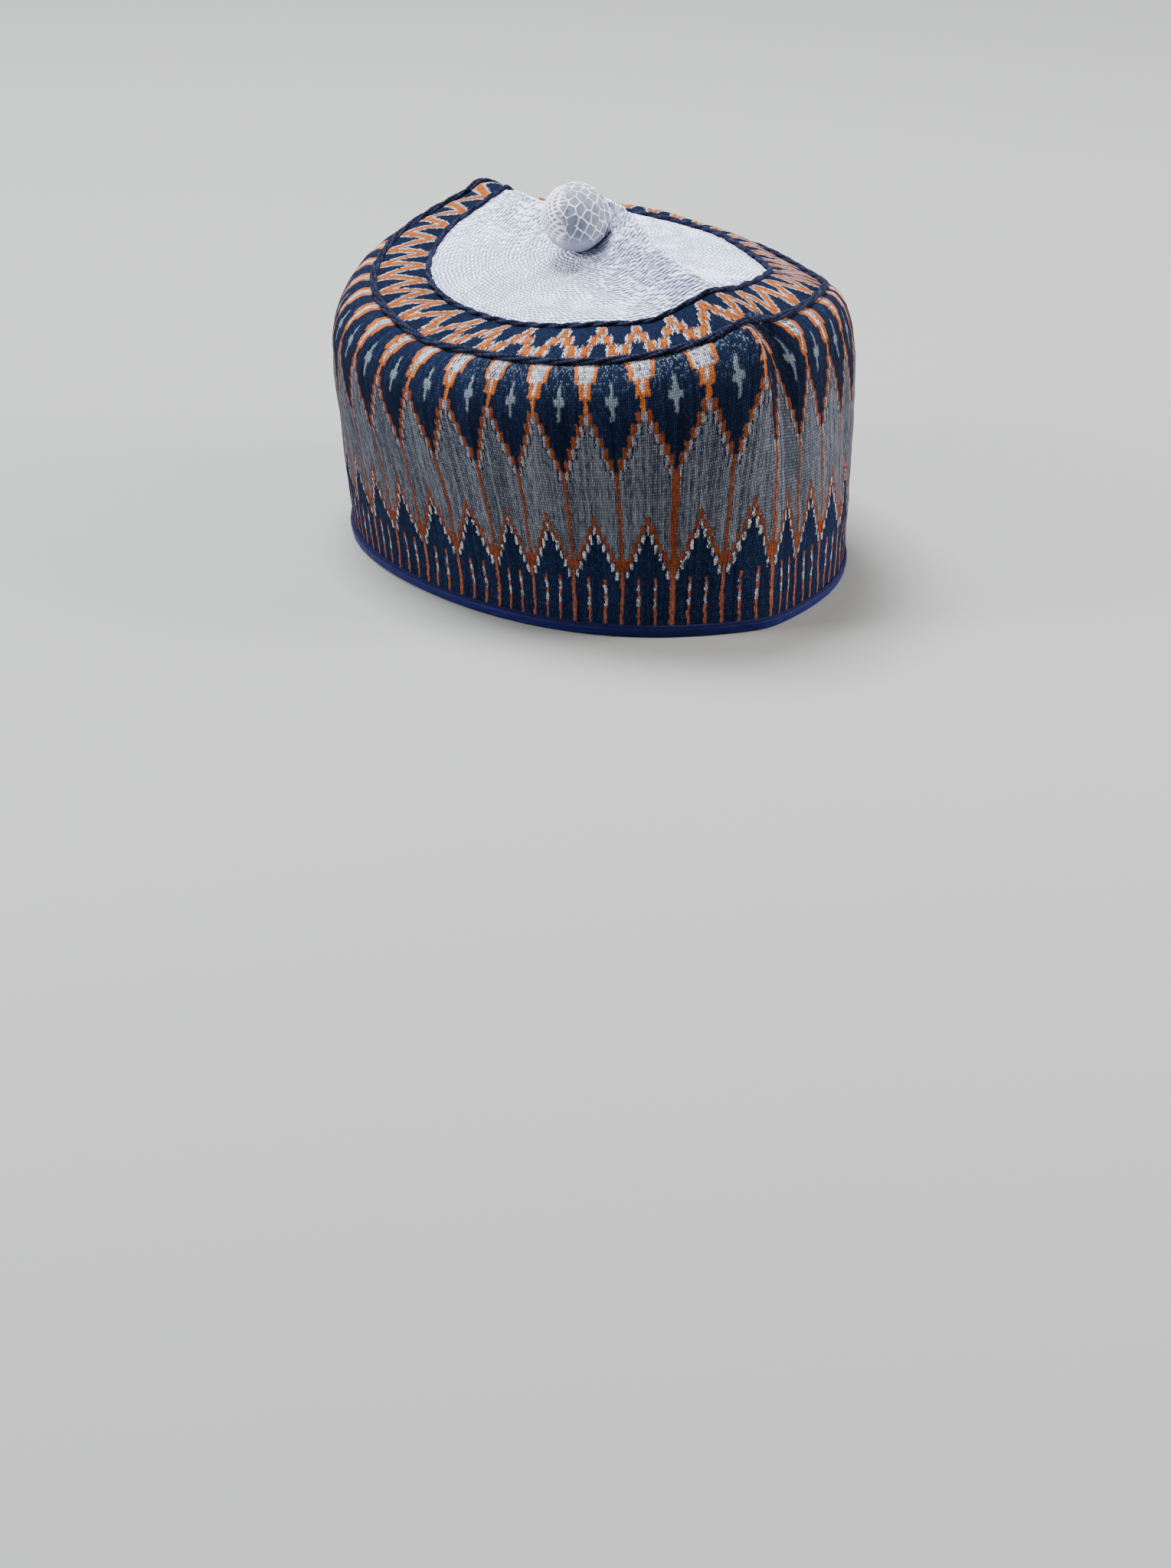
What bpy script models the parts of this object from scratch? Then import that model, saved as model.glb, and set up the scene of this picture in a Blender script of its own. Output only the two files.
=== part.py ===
"""Knitted cap with a round crown disc, a corded shoulder and a ball knob.

The cap stands on its rim. +Z is up, its front crease faces -Y, and the origin is the middle of
the floor under it. A bearing is an angle round the cap, 0 at the front crease and +90 at +X.
The walls are lofts: a polar rim outline, raised and set in or out by the tables below.
"""

import bpy
import numpy as np

MM = 0.001

# Rim outline, millimetres: radius = mean + oval cos 2b + egg cos 3b + a soft corner at the front
RIM_MEAN = 92.5
RIM_OVAL = 9.3
RIM_EGG = 1.3
CORNER_HEIGHT = 4.3
CORNER_REACH = 0.15
CORNER_ROUNDING = 0.06

# Walls, millimetres
KNIT = 3.0
CROCHET = 2.4
SATIN = 0.8
GAP = 0.3
BINDING_HEIGHT = 4.6
BINDING_CHAMFER = 0.5
BINDING_STEP_FADE = 0.3
SHOULDER_CORD_RADIUS = 1.35
CROWN_CORD_RADIUS = 1.0

# A cord lies in a bed along its seam, where the two knitted edges meet with a narrow split
SHOULDER_CORD_BED = SHOULDER_CORD_RADIUS + 1.5 * GAP
CROWN_CORD_BED = CROWN_CORD_RADIUS + 1.5 * GAP
BED_REACH = 0.12
SEAM_SPLIT = 0.5

# How far the two corded seams lie inside the rim outline
SHOULDER_SEAM_INSET = 10.6
CROWN_SEAM_INSET = 30.9

# The worn cap leans a little, to this bearing
LEAN = 2.0
LEAN_BEARING = -123.5

# Heights of the two corded seams round the cap, which stands up at the front and the back, and
# how much the ring arches between them
SEAM_COLUMNS = ("bearing", "shoulder_height", "crown_height", "ring_arch")
SEAM_ROWS = (
    (-180, 108.8, 112.6, 1.2),
    (-172, 105.3, 108.9, 1.2),
    (-160, 101.3, 105.0, 1.2),
    (-147, 97.3, 100.5, 1.2),
    (-130, 93.6, 96.6, 1.2),
    (-110, 90.8, 95.0, 1.2),
    (-90, 88.4, 94.7, 1.2),
    (-70, 90.4, 95.7, 1.2),
    (-50, 92.7, 98.6, 1.2),
    (-33, 95.7, 102.2, 1.2),
    (-17, 100.5, 105.2, 1.2),
    (-10, 104.0, 109.6, 1.2),
    (-3, 108.8, 114.0, 1.2),
    (5, 107.2, 113.0, 1.2),
    (15, 106.9, 112.0, 1.2),
    (28, 106.5, 110.4, 1.2),
    (42, 102.5, 106.8, 1.2),
    (58, 98.8, 105.6, 1.2),
    (90, 97.2, 106.2, 2.0),
    (115, 96.4, 105.0, 3.0),
    (142, 99.2, 105.4, 3.2),
    (160, 101.8, 106.0, 2.4),
    (168, 105.6, 108.2, 1.6),
    (172, 109.8, 110.6, 1.2),
    (176, 111.9, 114.4, 1.2),
)

# The side band from the rim to the shoulder seam
BAND_COLUMNS = ("share_of_height", "stand_out", "share_of_lean")
BAND_ROWS = (
    (0.00, 0.0, 0.0),
    (0.10, 0.3, 0.1),
    (0.30, 1.2, 0.4),
    (0.50, 2.2, 0.7),
    (0.68, 3.0, 1.0),
    (0.82, 2.6, 1.0),
    (0.92, -0.6, 0.7),
    (0.975, -5.4, 0.3),
    (1.00, -10.6, 0.0),
)

# Upright folds in the band by the front crease: shares are of the height
FOLD_COLUMNS = ("at_rim", "at_seam", "half_width", "stand_out", "starts", "full")
FOLD_ROWS = (
    (-7.0, -10.0, 6.0, 1.4, 0.30, 0.88),
    (5.0, 1.5, 2.8, -3.4, 0.30, 0.93),
)
FOLD_SHARE_AT_SEAM = 0.45

# The crest of the crown disc, from the front seam to the back one
CREST_COLUMNS = ("along", "aside", "height")
CREST_ROWS = (
    (-78, -3.0, 113.6),
    (-62, -2.5, 114.4),
    (-50, -1.5, 115.0),
    (-38, 0.0, 116.6),
    (-28, 2.0, 119.0),
    (-18, 4.0, 121.6),
    (-5, 6.0, 124.4),
    (6, 6.5, 124.2),
    (20, 6.0, 121.0),
    (40, 4.5, 117.1),
    (70, 4.0, 115.2),
)
CREST_LEFT_WIDTH = 12.0
CREST_LEFT_WIDTH_AT_KNOB = 8.0
CREST_RIGHT_WIDTH = 9.0
CREST_SHARPNESS = 1.7
CREST_FADE = 0.2
KNOB_REACH = 18.0
PEAK_BEARING = 176.0
DISC_MIDDLE = (-4.0, -2.0)
DISC_MIDDLE_HEIGHT = 110.0

# The knob lies against the left flank of the crest
KNOB_CENTRE = (-9.7, -0.4, 122.2)
KNOB_RADIUS = 12.3
KNOB_SEAT_GAP = 0.8

# Rows and stations of the lofts
STATIONS = 72
CROWDING = 0.55
PLAN_ROWS = 44
BAND_STEPS = 11
RING_STEPS = 3
DISC_STEPS = 10
DISC_CROWDING = 1.3
KNOB_SEGMENTS = 16
KNOB_RINGS = 10


def smooth(x, xs, ys):
    """A cubic curve through the rows, whose slope at each row is that of the parabola there."""
    xs, ys = np.asarray(xs, float), np.asarray(ys, float)
    steps = np.diff(xs)
    rises = np.diff(ys) / steps
    slopes = np.empty(len(xs))
    slopes[1:-1] = (rises[:-1] * steps[1:] + rises[1:] * steps[:-1]) / (steps[:-1] + steps[1:])
    slopes[0], slopes[-1] = rises[0], rises[-1]
    i = np.clip(np.searchsorted(xs, x, side="right") - 1, 0, len(xs) - 2)
    h = steps[i]
    t = (x - xs[i]) / h
    start = (1 + 2 * t) * (1 - t) ** 2 * ys[i] + t * (1 - t) ** 2 * h * slopes[i]
    end = t * t * (3 - 2 * t) * ys[i + 1] + t * t * (t - 1) * h * slopes[i + 1]
    return start + end


def eased(share):
    """0 up to share 0 and 1 from share 1 on, with a soft start and end between them."""
    s = np.clip(share, 0, 1)
    return s * s * (3 - 2 * s)


def column(columns, rows, name):
    """One named column of a table."""
    return np.array([row[columns.index(name)] for row in rows], float)


def turn_to(bearing, target):
    """The signed angle from target to bearing, in degrees, between -180 and 180."""
    return (bearing - target + 180) % 360 - 180


def at_seams(bearing, name):
    """A column of the seam table at a bearing: the table is carried once round each way."""
    bearings = column(SEAM_COLUMNS, SEAM_ROWS, "bearing")
    values = column(SEAM_COLUMNS, SEAM_ROWS, name)
    round_three_times = np.concatenate([bearings - 360, bearings, bearings + 360])
    return smooth(turn_to(bearing, 0), round_three_times, np.tile(values, 3))


def rim_radius(bearing):
    """The radius of the rim outline: an oval, wider at the back, with a soft corner in front."""
    b = np.radians(turn_to(bearing, 0))
    past_corner = np.sqrt(b * b + CORNER_ROUNDING**2) - CORNER_ROUNDING
    corner = CORNER_HEIGHT * np.exp(-past_corner / CORNER_REACH)
    return RIM_MEAN + RIM_OVAL * np.cos(2 * b) + RIM_EGG * np.cos(3 * b) + corner


def polar(bearing, radius, height):
    """Points at these bearings, radii and heights, with x to the cap's side and -y its front."""
    b = np.radians(bearing)
    return np.stack(np.broadcast_arrays(radius * np.sin(b), -radius * np.cos(b), height), axis=-1)


def fold_out(bearing, share):
    """How far the upright folds set the wall in or out at a bearing and a share of its height."""
    out = 0.0
    for at_rim, at_seam, half_width, stand_out, starts, full in FOLD_ROWS:
        off = turn_to(bearing, at_rim + (at_seam - at_rim) * share) / half_width
        grown = np.interp(share, [0, starts, full, 1], [0, 0, 1, FOLD_SHARE_AT_SEAM])
        out = out + stand_out * np.exp(-(off**2)) * eased(grown)
    return out


def band_surface(bearing, t):
    """The outer face of the side band: t runs from 0 at the rim to 1 at the shoulder seam."""
    rows = np.linspace(0, 1, len(BAND_ROWS))
    share = smooth(t, rows, column(BAND_COLUMNS, BAND_ROWS, "share_of_height"))
    out = smooth(t, rows, column(BAND_COLUMNS, BAND_ROWS, "stand_out"))
    lean = smooth(t, rows, column(BAND_COLUMNS, BAND_ROWS, "share_of_lean"))
    out = out + fold_out(bearing, share)
    out = out + LEAN * lean * np.cos(np.radians(turn_to(bearing, LEAN_BEARING)))
    out = out - (SATIN + GAP) * np.clip(1 - share / BINDING_STEP_FADE, 0, 1)
    height = share * at_seams(bearing, "shoulder_height")
    height = height - SHOULDER_CORD_BED * eased((t - 1 + BED_REACH) / BED_REACH)
    return polar(bearing, rim_radius(bearing) + out, height)


def ring_line(bearing, t):
    """Across the top ring at the height of its cords: t is 0 at the shoulder and 1 at the crown."""
    inset = SHOULDER_SEAM_INSET + (CROWN_SEAM_INSET - SHOULDER_SEAM_INSET) * t
    low = at_seams(bearing, "shoulder_height")
    high = at_seams(bearing, "crown_height")
    height = low + (high - low) * t + at_seams(bearing, "ring_arch") * np.sin(np.pi * t)
    radius = rim_radius(bearing) - inset + fold_out(bearing, 1.0) * (1 - t)
    return polar(bearing, radius, height)


def bed_depth(t):
    """How deep the ring's face lies under the line through its two cords."""
    return SHOULDER_CORD_BED + (CROWN_CORD_BED - SHOULDER_CORD_BED) * t


def crest_lift(x, y, t):
    """How far the crest lifts the disc at x, y: a rounded ridge that fades at the crown seam."""
    along = column(CREST_COLUMNS, CREST_ROWS, "along")
    aside = smooth(y, along, column(CREST_COLUMNS, CREST_ROWS, "aside"))
    top = smooth(y, along, column(CREST_COLUMNS, CREST_ROWS, "height"))
    middle_y = DISC_MIDDLE[1]
    front_y = -(rim_radius(0.0) - CROWN_SEAM_INSET)
    back_y = rim_radius(180.0) - CROWN_SEAM_INSET
    to_front = y < middle_y
    edge_y = np.where(to_front, front_y, back_y)
    front_height = at_seams(0.0, "crown_height")
    back_height = at_seams(PEAK_BEARING, "crown_height")
    edge_height = np.where(to_front, front_height, back_height)
    share = np.clip((y - middle_y) / (edge_y - middle_y), 0, 1)
    base = DISC_MIDDLE_HEIGHT + (edge_height - DISC_MIDDLE_HEIGHT) * share
    at_knob = np.exp(-(((y - middle_y) / KNOB_REACH) ** 2))
    left = CREST_LEFT_WIDTH + (CREST_LEFT_WIDTH_AT_KNOB - CREST_LEFT_WIDTH) * at_knob
    width = np.where(x < aside, left, CREST_RIGHT_WIDTH)
    ridge = (top - base) * np.exp(-((np.abs(x - aside) / width) ** CREST_SHARPNESS))
    return ridge * np.sin(0.5 * np.pi * np.clip(t / CREST_FADE, 0, 1))


def knob_seat(x, y):
    """The highest that the disc may reach by the knob: a bowl that follows the ball's underside."""
    radius = KNOB_RADIUS + KNOB_SEAT_GAP
    off = (x - KNOB_CENTRE[0]) ** 2 + (y - KNOB_CENTRE[1]) ** 2
    return KNOB_CENTRE[2] - radius + off / (2 * radius) + off**2 / (8 * radius**3)


def disc_surface(bearing, t):
    """The outer face of the crown disc: t runs from 0 at the crown seam to 1 at its middle."""
    edge = polar(bearing, rim_radius(bearing) - CROWN_SEAM_INSET, 0.0)
    x = edge[..., 0] + (DISC_MIDDLE[0] - edge[..., 0]) * t
    y = edge[..., 1] + (DISC_MIDDLE[1] - edge[..., 1]) * t
    low = at_seams(bearing, "crown_height")
    height = low + (DISC_MIDDLE_HEIGHT - low) * t + crest_lift(x, y, t)
    height = height - CROWN_CORD_BED * (1 - eased(t / BED_REACH))
    height = np.minimum(height, knob_seat(x, y))
    return np.stack(np.broadcast_arrays(x, y, height), axis=-1)


def bearings():
    """The stations round the cap, closest together at its front crease and its back peak."""
    s = np.arange(STATIONS) * 2 / STATIONS - 1
    return 180 * (s - CROWDING * np.sin(2 * np.pi * s) / (2 * np.pi))


def middle_of_floor():
    """The middle of the cap's plan, which is set at the origin."""
    outer = band_surface(bearings(), np.linspace(0, 1, PLAN_ROWS)[:, None])
    across = 0.5 * (outer.min(axis=(0, 1)) + outer.max(axis=(0, 1)))
    return np.array([across[0], across[1], 0.0])


MIDDLE = middle_of_floor()


def start_scene():
    """An empty scene with a collection for the cap."""
    for old in list(bpy.data.objects):
        bpy.data.objects.remove(old)
    parts = bpy.data.collections.new("knitted_cap")
    bpy.context.scene.collection.children.link(parts)
    return parts


def material(name, colour, roughness):
    made = bpy.data.materials.new(name)
    made.use_nodes = True
    shader = made.node_tree.nodes["Principled BSDF"]
    shader.inputs["Base Color"].default_value = (*colour, 1.0)
    shader.inputs["Roughness"].default_value = roughness
    shader.inputs["Metallic"].default_value = 0.0
    return made


def finish(name, data, look, parts):
    data.materials.append(look)
    made = bpy.data.objects.new(name, data)
    parts.objects.link(made)
    return made


def sheet(name, rows, look, parts, thickness, tip=None, even=False):
    """A cloth wall: rows of points round the cap, from the outside bottom up, thickened inwards."""
    count, stations = rows.shape[:2]
    points = list(((rows - MIDDLE) * MM).reshape(-1, 3))
    here = np.arange(stations)
    beside = (here + 1) % stations
    faces = []
    for row in range(count - 1):
        low, high = row * stations, (row + 1) * stations
        quads = np.stack([low + here, low + beside, high + beside, high + here], axis=1)
        faces.extend(quads.tolist())
    if tip is not None:
        points.append((tip - MIDDLE) * MM)
        last = (count - 1) * stations
        faces.extend([[last + a, last + b, len(points) - 1] for a, b in zip(here, beside)])
    data = bpy.data.meshes.new(name)
    data.from_pydata([tuple(p) for p in points], [], faces)
    data.validate()
    data.shade_smooth()
    made = finish(name, data, look, parts)
    wall = made.modifiers.new("wall", "SOLIDIFY")
    wall.thickness = thickness * MM
    wall.offset = -1.0
    wall.use_even_offset = even
    return made


def cord(name, route, radius, look, parts):
    """A twisted cord laid on a seam: a closed tube along the route."""
    data = bpy.data.curves.new(name, "CURVE")
    data.dimensions = "3D"
    data.bevel_depth = radius * MM
    data.bevel_resolution = 2
    spline = data.splines.new("POLY")
    spline.points.add(len(route) - 1)
    for point, place in zip(spline.points, (route - MIDDLE) * MM):
        point.co = (*place, 1.0)
    spline.use_cyclic_u = True
    return finish(name, data, look, parts)


def make_side_band(parts, look):
    """The patterned knitted wall. Its lower edge stands inside the binding."""
    around = bearings()
    rows = band_surface(around, np.linspace(0, 1, BAND_STEPS + 1)[:, None])
    rows[-1] += polar(around, SEAM_SPLIT, 0.0)
    hem = np.stack([rows[0], rows[0]])
    hem[0, :, 2] = SATIN + GAP
    hem[1, :, 2] = BINDING_HEIGHT
    return sheet("side_band", np.concatenate([hem, rows[2:]]), look, parts, KNIT)


def make_rim_binding(parts, look):
    """The satin strip folded over the rim: a channel with a flat foot."""
    around = bearings()
    width = 2 * SATIN + 3 * GAP + KNIT
    profile = (
        (0.0, BINDING_HEIGHT),
        (0.0, BINDING_CHAMFER),
        (BINDING_CHAMFER, 0.0),
        (width - BINDING_CHAMFER, 0.0),
        (width, BINDING_CHAMFER),
        (width, BINDING_HEIGHT),
    )
    rows = [polar(around, rim_radius(around) - inset, height) for inset, height in profile[::-1]]
    return sheet("rim_binding", np.array(rows), look, parts, SATIN, even=True)


def make_top_ring(parts, look):
    """The patterned ring between the two corded seams."""
    split = SEAM_SPLIT / (CROWN_SEAM_INSET - SHOULDER_SEAM_INSET)
    levels = np.linspace(split, 1 - split, RING_STEPS + 1)[:, None]
    rows = ring_line(bearings(), levels)
    rows[..., 2] -= bed_depth(levels)
    return sheet("top_ring", rows, look, parts, KNIT)


def make_crown_disc(parts, look):
    """The white crocheted disc, tented into a crest from front to back."""
    levels = 1 - (1 - np.arange(DISC_STEPS)[:, None] / DISC_STEPS) ** DISC_CROWDING
    rows = disc_surface(bearings(), levels)
    rows[0] -= polar(bearings(), SEAM_SPLIT, 0.0)
    return sheet("crown_disc", rows, look, parts, CROCHET, tip=disc_surface(0.0, 1.0))


def make_knob(parts, look):
    """The stuffed ball on the crown."""
    centre = (np.array(KNOB_CENTRE) - MIDDLE) * MM
    bpy.ops.mesh.primitive_uv_sphere_add(
        segments=KNOB_SEGMENTS, ring_count=KNOB_RINGS, radius=KNOB_RADIUS * MM, location=centre
    )
    made = bpy.context.object
    made.name = "knob"
    made.data.name = "knob"
    made.data.shade_smooth()
    made.data.materials.append(look)
    for owner in list(made.users_collection):
        owner.objects.unlink(made)
    parts.objects.link(made)
    return made


def main():
    parts = start_scene()
    navy_knit = material("navy_knit", (0.025, 0.045, 0.12), 0.85)
    ring_knit = material("ring_knit", (0.03, 0.05, 0.13), 0.85)
    blue_satin = material("blue_satin", (0.015, 0.018, 0.14), 0.45)
    dark_cord = material("dark_cord", (0.012, 0.016, 0.04), 0.8)
    white_crochet = material("white_crochet", (0.75, 0.77, 0.82), 0.9)
    grey_ball = material("grey_ball", (0.48, 0.5, 0.56), 0.85)
    make_side_band(parts, navy_knit)
    make_rim_binding(parts, blue_satin)
    make_top_ring(parts, ring_knit)
    make_crown_disc(parts, white_crochet)
    make_knob(parts, grey_ball)
    around = bearings()
    cord("shoulder_cord", ring_line(around, 0.0), SHOULDER_CORD_RADIUS, dark_cord, parts)
    cord("crown_cord", ring_line(around, 1.0), CROWN_CORD_RADIUS, dark_cord, parts)


main()
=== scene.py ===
"""The looks of a knitted cap that stands on its rim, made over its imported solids.

The pieces come in the order in which the cap is put together. +Z is up and the front crease faces
-Y. A bearing is an angle round the cap in degrees, 0 at the crease and +90 at +X. Surfaces are
worked out in millimetres and set down in metres.
"""

import math

import bpy
import numpy as np
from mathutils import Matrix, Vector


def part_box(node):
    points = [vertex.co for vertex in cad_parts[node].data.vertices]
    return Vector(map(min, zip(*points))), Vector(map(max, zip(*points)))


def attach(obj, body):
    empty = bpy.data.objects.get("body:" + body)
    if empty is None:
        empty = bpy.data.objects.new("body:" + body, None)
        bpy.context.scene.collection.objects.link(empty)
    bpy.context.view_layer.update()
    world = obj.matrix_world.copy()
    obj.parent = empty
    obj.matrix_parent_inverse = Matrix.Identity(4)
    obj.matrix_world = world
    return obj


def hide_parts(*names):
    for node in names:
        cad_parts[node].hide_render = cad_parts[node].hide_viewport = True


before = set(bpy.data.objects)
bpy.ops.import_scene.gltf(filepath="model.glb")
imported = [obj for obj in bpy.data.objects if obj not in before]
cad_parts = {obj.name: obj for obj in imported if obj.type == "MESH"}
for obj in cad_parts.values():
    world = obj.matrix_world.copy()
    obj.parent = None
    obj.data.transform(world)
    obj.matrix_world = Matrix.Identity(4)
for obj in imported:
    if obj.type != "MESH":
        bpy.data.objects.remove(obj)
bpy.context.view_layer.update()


# Side band: the patterned wall, stranded knitting 3 mm thick in navy, grey, rust and cream wool.
# It is knitted round as a tube, rises from the rim, rounds over a soft shoulder and ends on the
# cord there. Two upright folds by the front crease set it out and in.
MM = 0.001
KNIT = 3.0
SATIN = 0.8
GAP = 0.3
RIM_MEAN = 92.5
RIM_OVAL = 9.3
RIM_EGG = 1.3
CORNER_HEIGHT = 4.3
CORNER_REACH = 0.15
CORNER_ROUNDING = 0.06
LEAN = 2.0
LEAN_BEARING = -123.5
# The heights of the two seams round the cap: the left shoulder is low, front and back are high.
SEAM_ROWS = (  # bearing, shoulder height, crown height, how much the ring arches between
    (-180, 108.8, 112.6, 1.2),
    (-172, 105.3, 108.9, 1.2),
    (-160, 101.3, 105.0, 1.2),
    (-147, 97.3, 100.5, 1.2),
    (-130, 93.6, 96.6, 1.2),
    (-110, 90.8, 95.0, 1.2),
    (-90, 88.4, 94.7, 1.2),
    (-70, 90.4, 95.7, 1.2),
    (-50, 92.7, 98.6, 1.2),
    (-33, 95.7, 102.2, 1.2),
    (-17, 100.5, 105.2, 1.2),
    (-10, 104.0, 109.6, 1.2),
    (-3, 108.8, 114.0, 1.2),
    (5, 107.2, 113.0, 1.2),
    (15, 106.9, 112.0, 1.2),
    (28, 106.5, 110.4, 1.2),
    (42, 102.5, 106.8, 1.2),
    (58, 98.8, 105.6, 1.2),
    (90, 97.2, 106.2, 2.0),
    (115, 96.4, 105.0, 3.0),
    (142, 99.2, 105.4, 3.2),
    (160, 101.8, 106.0, 2.4),
    (168, 105.6, 108.2, 1.6),
    (172, 109.8, 110.6, 1.2),
    (176, 111.9, 114.4, 1.2),
)
BAND_ROWS = (  # share of height, stand out, share of lean
    (0.00, 0.0, 0.0),
    (0.10, 0.3, 0.1),
    (0.30, 1.2, 0.4),
    (0.50, 2.2, 0.7),
    (0.68, 3.0, 1.0),
    (0.82, 2.6, 1.0),
    (0.92, -0.6, 0.7),
    (0.975, -5.4, 0.3),
    (1.00, -10.6, 0.0),
)
FOLD_ROWS = (  # bearing at rim, bearing at seam, half width, stand out, share it starts at, full at
    (-7.0, -10.0, 6.0, 1.4, 0.30, 0.88),
    (5.0, 1.5, 2.8, -3.4, 0.30, 0.93),
)
FOLD_SHARE_AT_SEAM = 0.45
TUCK_ROWS = (  # t up the band, how far round the rim the tuck's edge stands, its depth
    (0.00, -3.0, 0.0),
    (0.12, -3.0, 0.0),
    (0.35, -2.4, 0.7),
    (0.50, -1.6, 1.2),
    (0.65, -2.4, 2.6),
    (0.75, -2.6, 3.6),
    (0.86, -4.0, 4.2),
    (0.95, -5.6, 3.2),
    (1.00, -6.6, 0.6),
)
TUCK_WALL = 3.4
TUCK_FLOOR = 3.0
TUCK_RISE = 13.0
BINDING_HEIGHT = 4.6
BINDING_STEP_FADE = 0.3
CORD_BED = 0.85
BED_REACH = 0.12
AROUND = 540
CROWDING = 0.35
BAND_OUTER_ROWS = 146
BAND_INNER_ROWS = 26
MEAN_HEIGHT = 97.0
REPEATS = 36
PITCH_ROWS = (  # repeat, how far round the rim its long line stands, from the crease
    (-8, -166.9), (-7, -150.9), (-6, -133.7), (-5, -116.4), (-4, -99.0),
    (-3, -84.2), (-2, -69.3), (-1, -52.3), (0, -35.0), (1, -17.6),
    (2, 1.4), (3, 13.6), (4, 29.0), (5, 46.5),
)
DRIFT_ROWS = (  # how far round the rim, how far the pattern drifts on its way up to the shoulder
    (-290, 0.0), (-230, -8.0), (-170, -14.4), (-134, -13.8), (-116, -13.2),
    (-100, -10.8), (-85, -8.4), (-70, -5.4), (-52, -3.5), (-35, 0.3),
    (-17.6, 3.5), (-5, 3.9), (5, 0.4), (13.6, -1.8), (22, -5.0),
    (38, -6.0), (55, -10.0), (110, -8.0), (200, 0.0),
)
GATHER_ROWS = (  # by the shoulder cord: repeat, how far past the tuck's edge it stands
    (1.7, -0.4), (2.75, 2.2), (3.1, 10.0), (3.5, 19.6), (4.5, 34.0),
    (5.0, 42.0), (6.5, 68.0),
)
DRIFT_PASSES = 3
EDGE_PULL = 2.6
FOLD_HIDES_LOW = 0.06
FOLD_HIDES_HIGH = 0.22
FOLD_REACH = 6.6
BESIDE_FOLD = 0.24
DRIFT_GROWTH = (  # t up the band, share of the drift
    (0.0, 0.0), (0.2, 0.0), (0.353, 0.3), (0.462, 0.6), (0.65, 0.97),
    (0.8, 1.0), (1.0, 1.0),
)


def smooth(x, xs, ys):
    """A cubic through the rows, whose slope at each row is that of the parabola there."""
    xs, ys = np.asarray(xs, float), np.asarray(ys, float)
    steps = np.diff(xs)
    rises = np.diff(ys) / steps
    slopes = np.empty(len(xs))
    slopes[1:-1] = (rises[:-1] * steps[1:] + rises[1:] * steps[:-1]) / (steps[:-1] + steps[1:])
    slopes[0], slopes[-1] = rises[0], rises[-1]
    i = np.clip(np.searchsorted(xs, x, side="right") - 1, 0, len(xs) - 2)
    h = steps[i]
    t = (x - xs[i]) / h
    start = (1 + 2 * t) * (1 - t) ** 2 * ys[i] + t * (1 - t) ** 2 * h * slopes[i]
    end = t * t * (3 - 2 * t) * ys[i + 1] + t * t * (t - 1) * h * slopes[i + 1]
    return start + end


def eased(share):
    """0 up to share 0 and 1 from share 1 on: 3s^2 - 2s^3 between them."""
    s = np.clip(share, 0, 1)
    return s * s * (3 - 2 * s)


def turn_to(bearing, target):
    """The signed angle from target to bearing, between -180 and 180 degrees."""
    return (bearing - target + 180) % 360 - 180


def at_seams(bearing, column):
    """A column of the seam table at a bearing: the table is carried once round each way."""
    rows = np.array(SEAM_ROWS, float)
    thrice = np.concatenate([rows[:, 0] - 360, rows[:, 0], rows[:, 0] + 360])
    return smooth(turn_to(bearing, 0), thrice, np.tile(rows[:, column], 3))


def rim_radius(bearing):
    """Mean + oval cos 2b + egg cos 3b + a corner that dies away from bearing 0."""
    b = np.radians(turn_to(bearing, 0))
    past_corner = np.sqrt(b * b + CORNER_ROUNDING**2) - CORNER_ROUNDING
    corner = CORNER_HEIGHT * np.exp(-past_corner / CORNER_REACH)
    return RIM_MEAN + RIM_OVAL * np.cos(2 * b) + RIM_EGG * np.cos(3 * b) + corner


def side_by_side(*parts):
    """Arrays whose shapes fit each other, laid beside each other along a new last axis."""
    return np.stack(np.broadcast_arrays(*parts), axis=-1)


def polar(bearing, radius, height):
    """Points radius sin b, -radius cos b, height."""
    b = np.radians(bearing)
    return side_by_side(radius * np.sin(b), -radius * np.cos(b), height)


def fold_out(bearing, share):
    """The sum of the folds: each is its stand out times a bell of the bearing about its line."""
    out = 0.0
    for at_rim, at_seam, half_width, stand_out, starts, full in FOLD_ROWS:
        off = turn_to(bearing, at_rim + (at_seam - at_rim) * share) / half_width
        grown = np.interp(share, [0, starts, full, 1], [0, 0, 1, FOLD_SHARE_AT_SEAM])
        out = out + stand_out * np.exp(-(off**2)) * eased(grown)
    return out


def tuck_rows_at(t):
    """Where the tuck's edge stands, in mm round the rim from the crease, and how deep it is."""
    places, edges, depths = np.array(TUCK_ROWS, float).T
    return smooth(t, places, edges), np.maximum(smooth(t, places, depths), 0.0)


def tuck_in(bearing, t):
    """The sharp side of the front fold: past its edge it drops in steeply and comes out slowly."""
    edge, depth = tuck_rows_at(t)
    past = np.radians(turn_to(bearing, 0)) * (RIM_MEAN + RIM_OVAL) - edge
    floor_ends = TUCK_WALL + TUCK_FLOOR
    shape = eased(past / TUCK_WALL) * (1 - eased((past - floor_ends) / TUCK_RISE))
    return depth * shape


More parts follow.
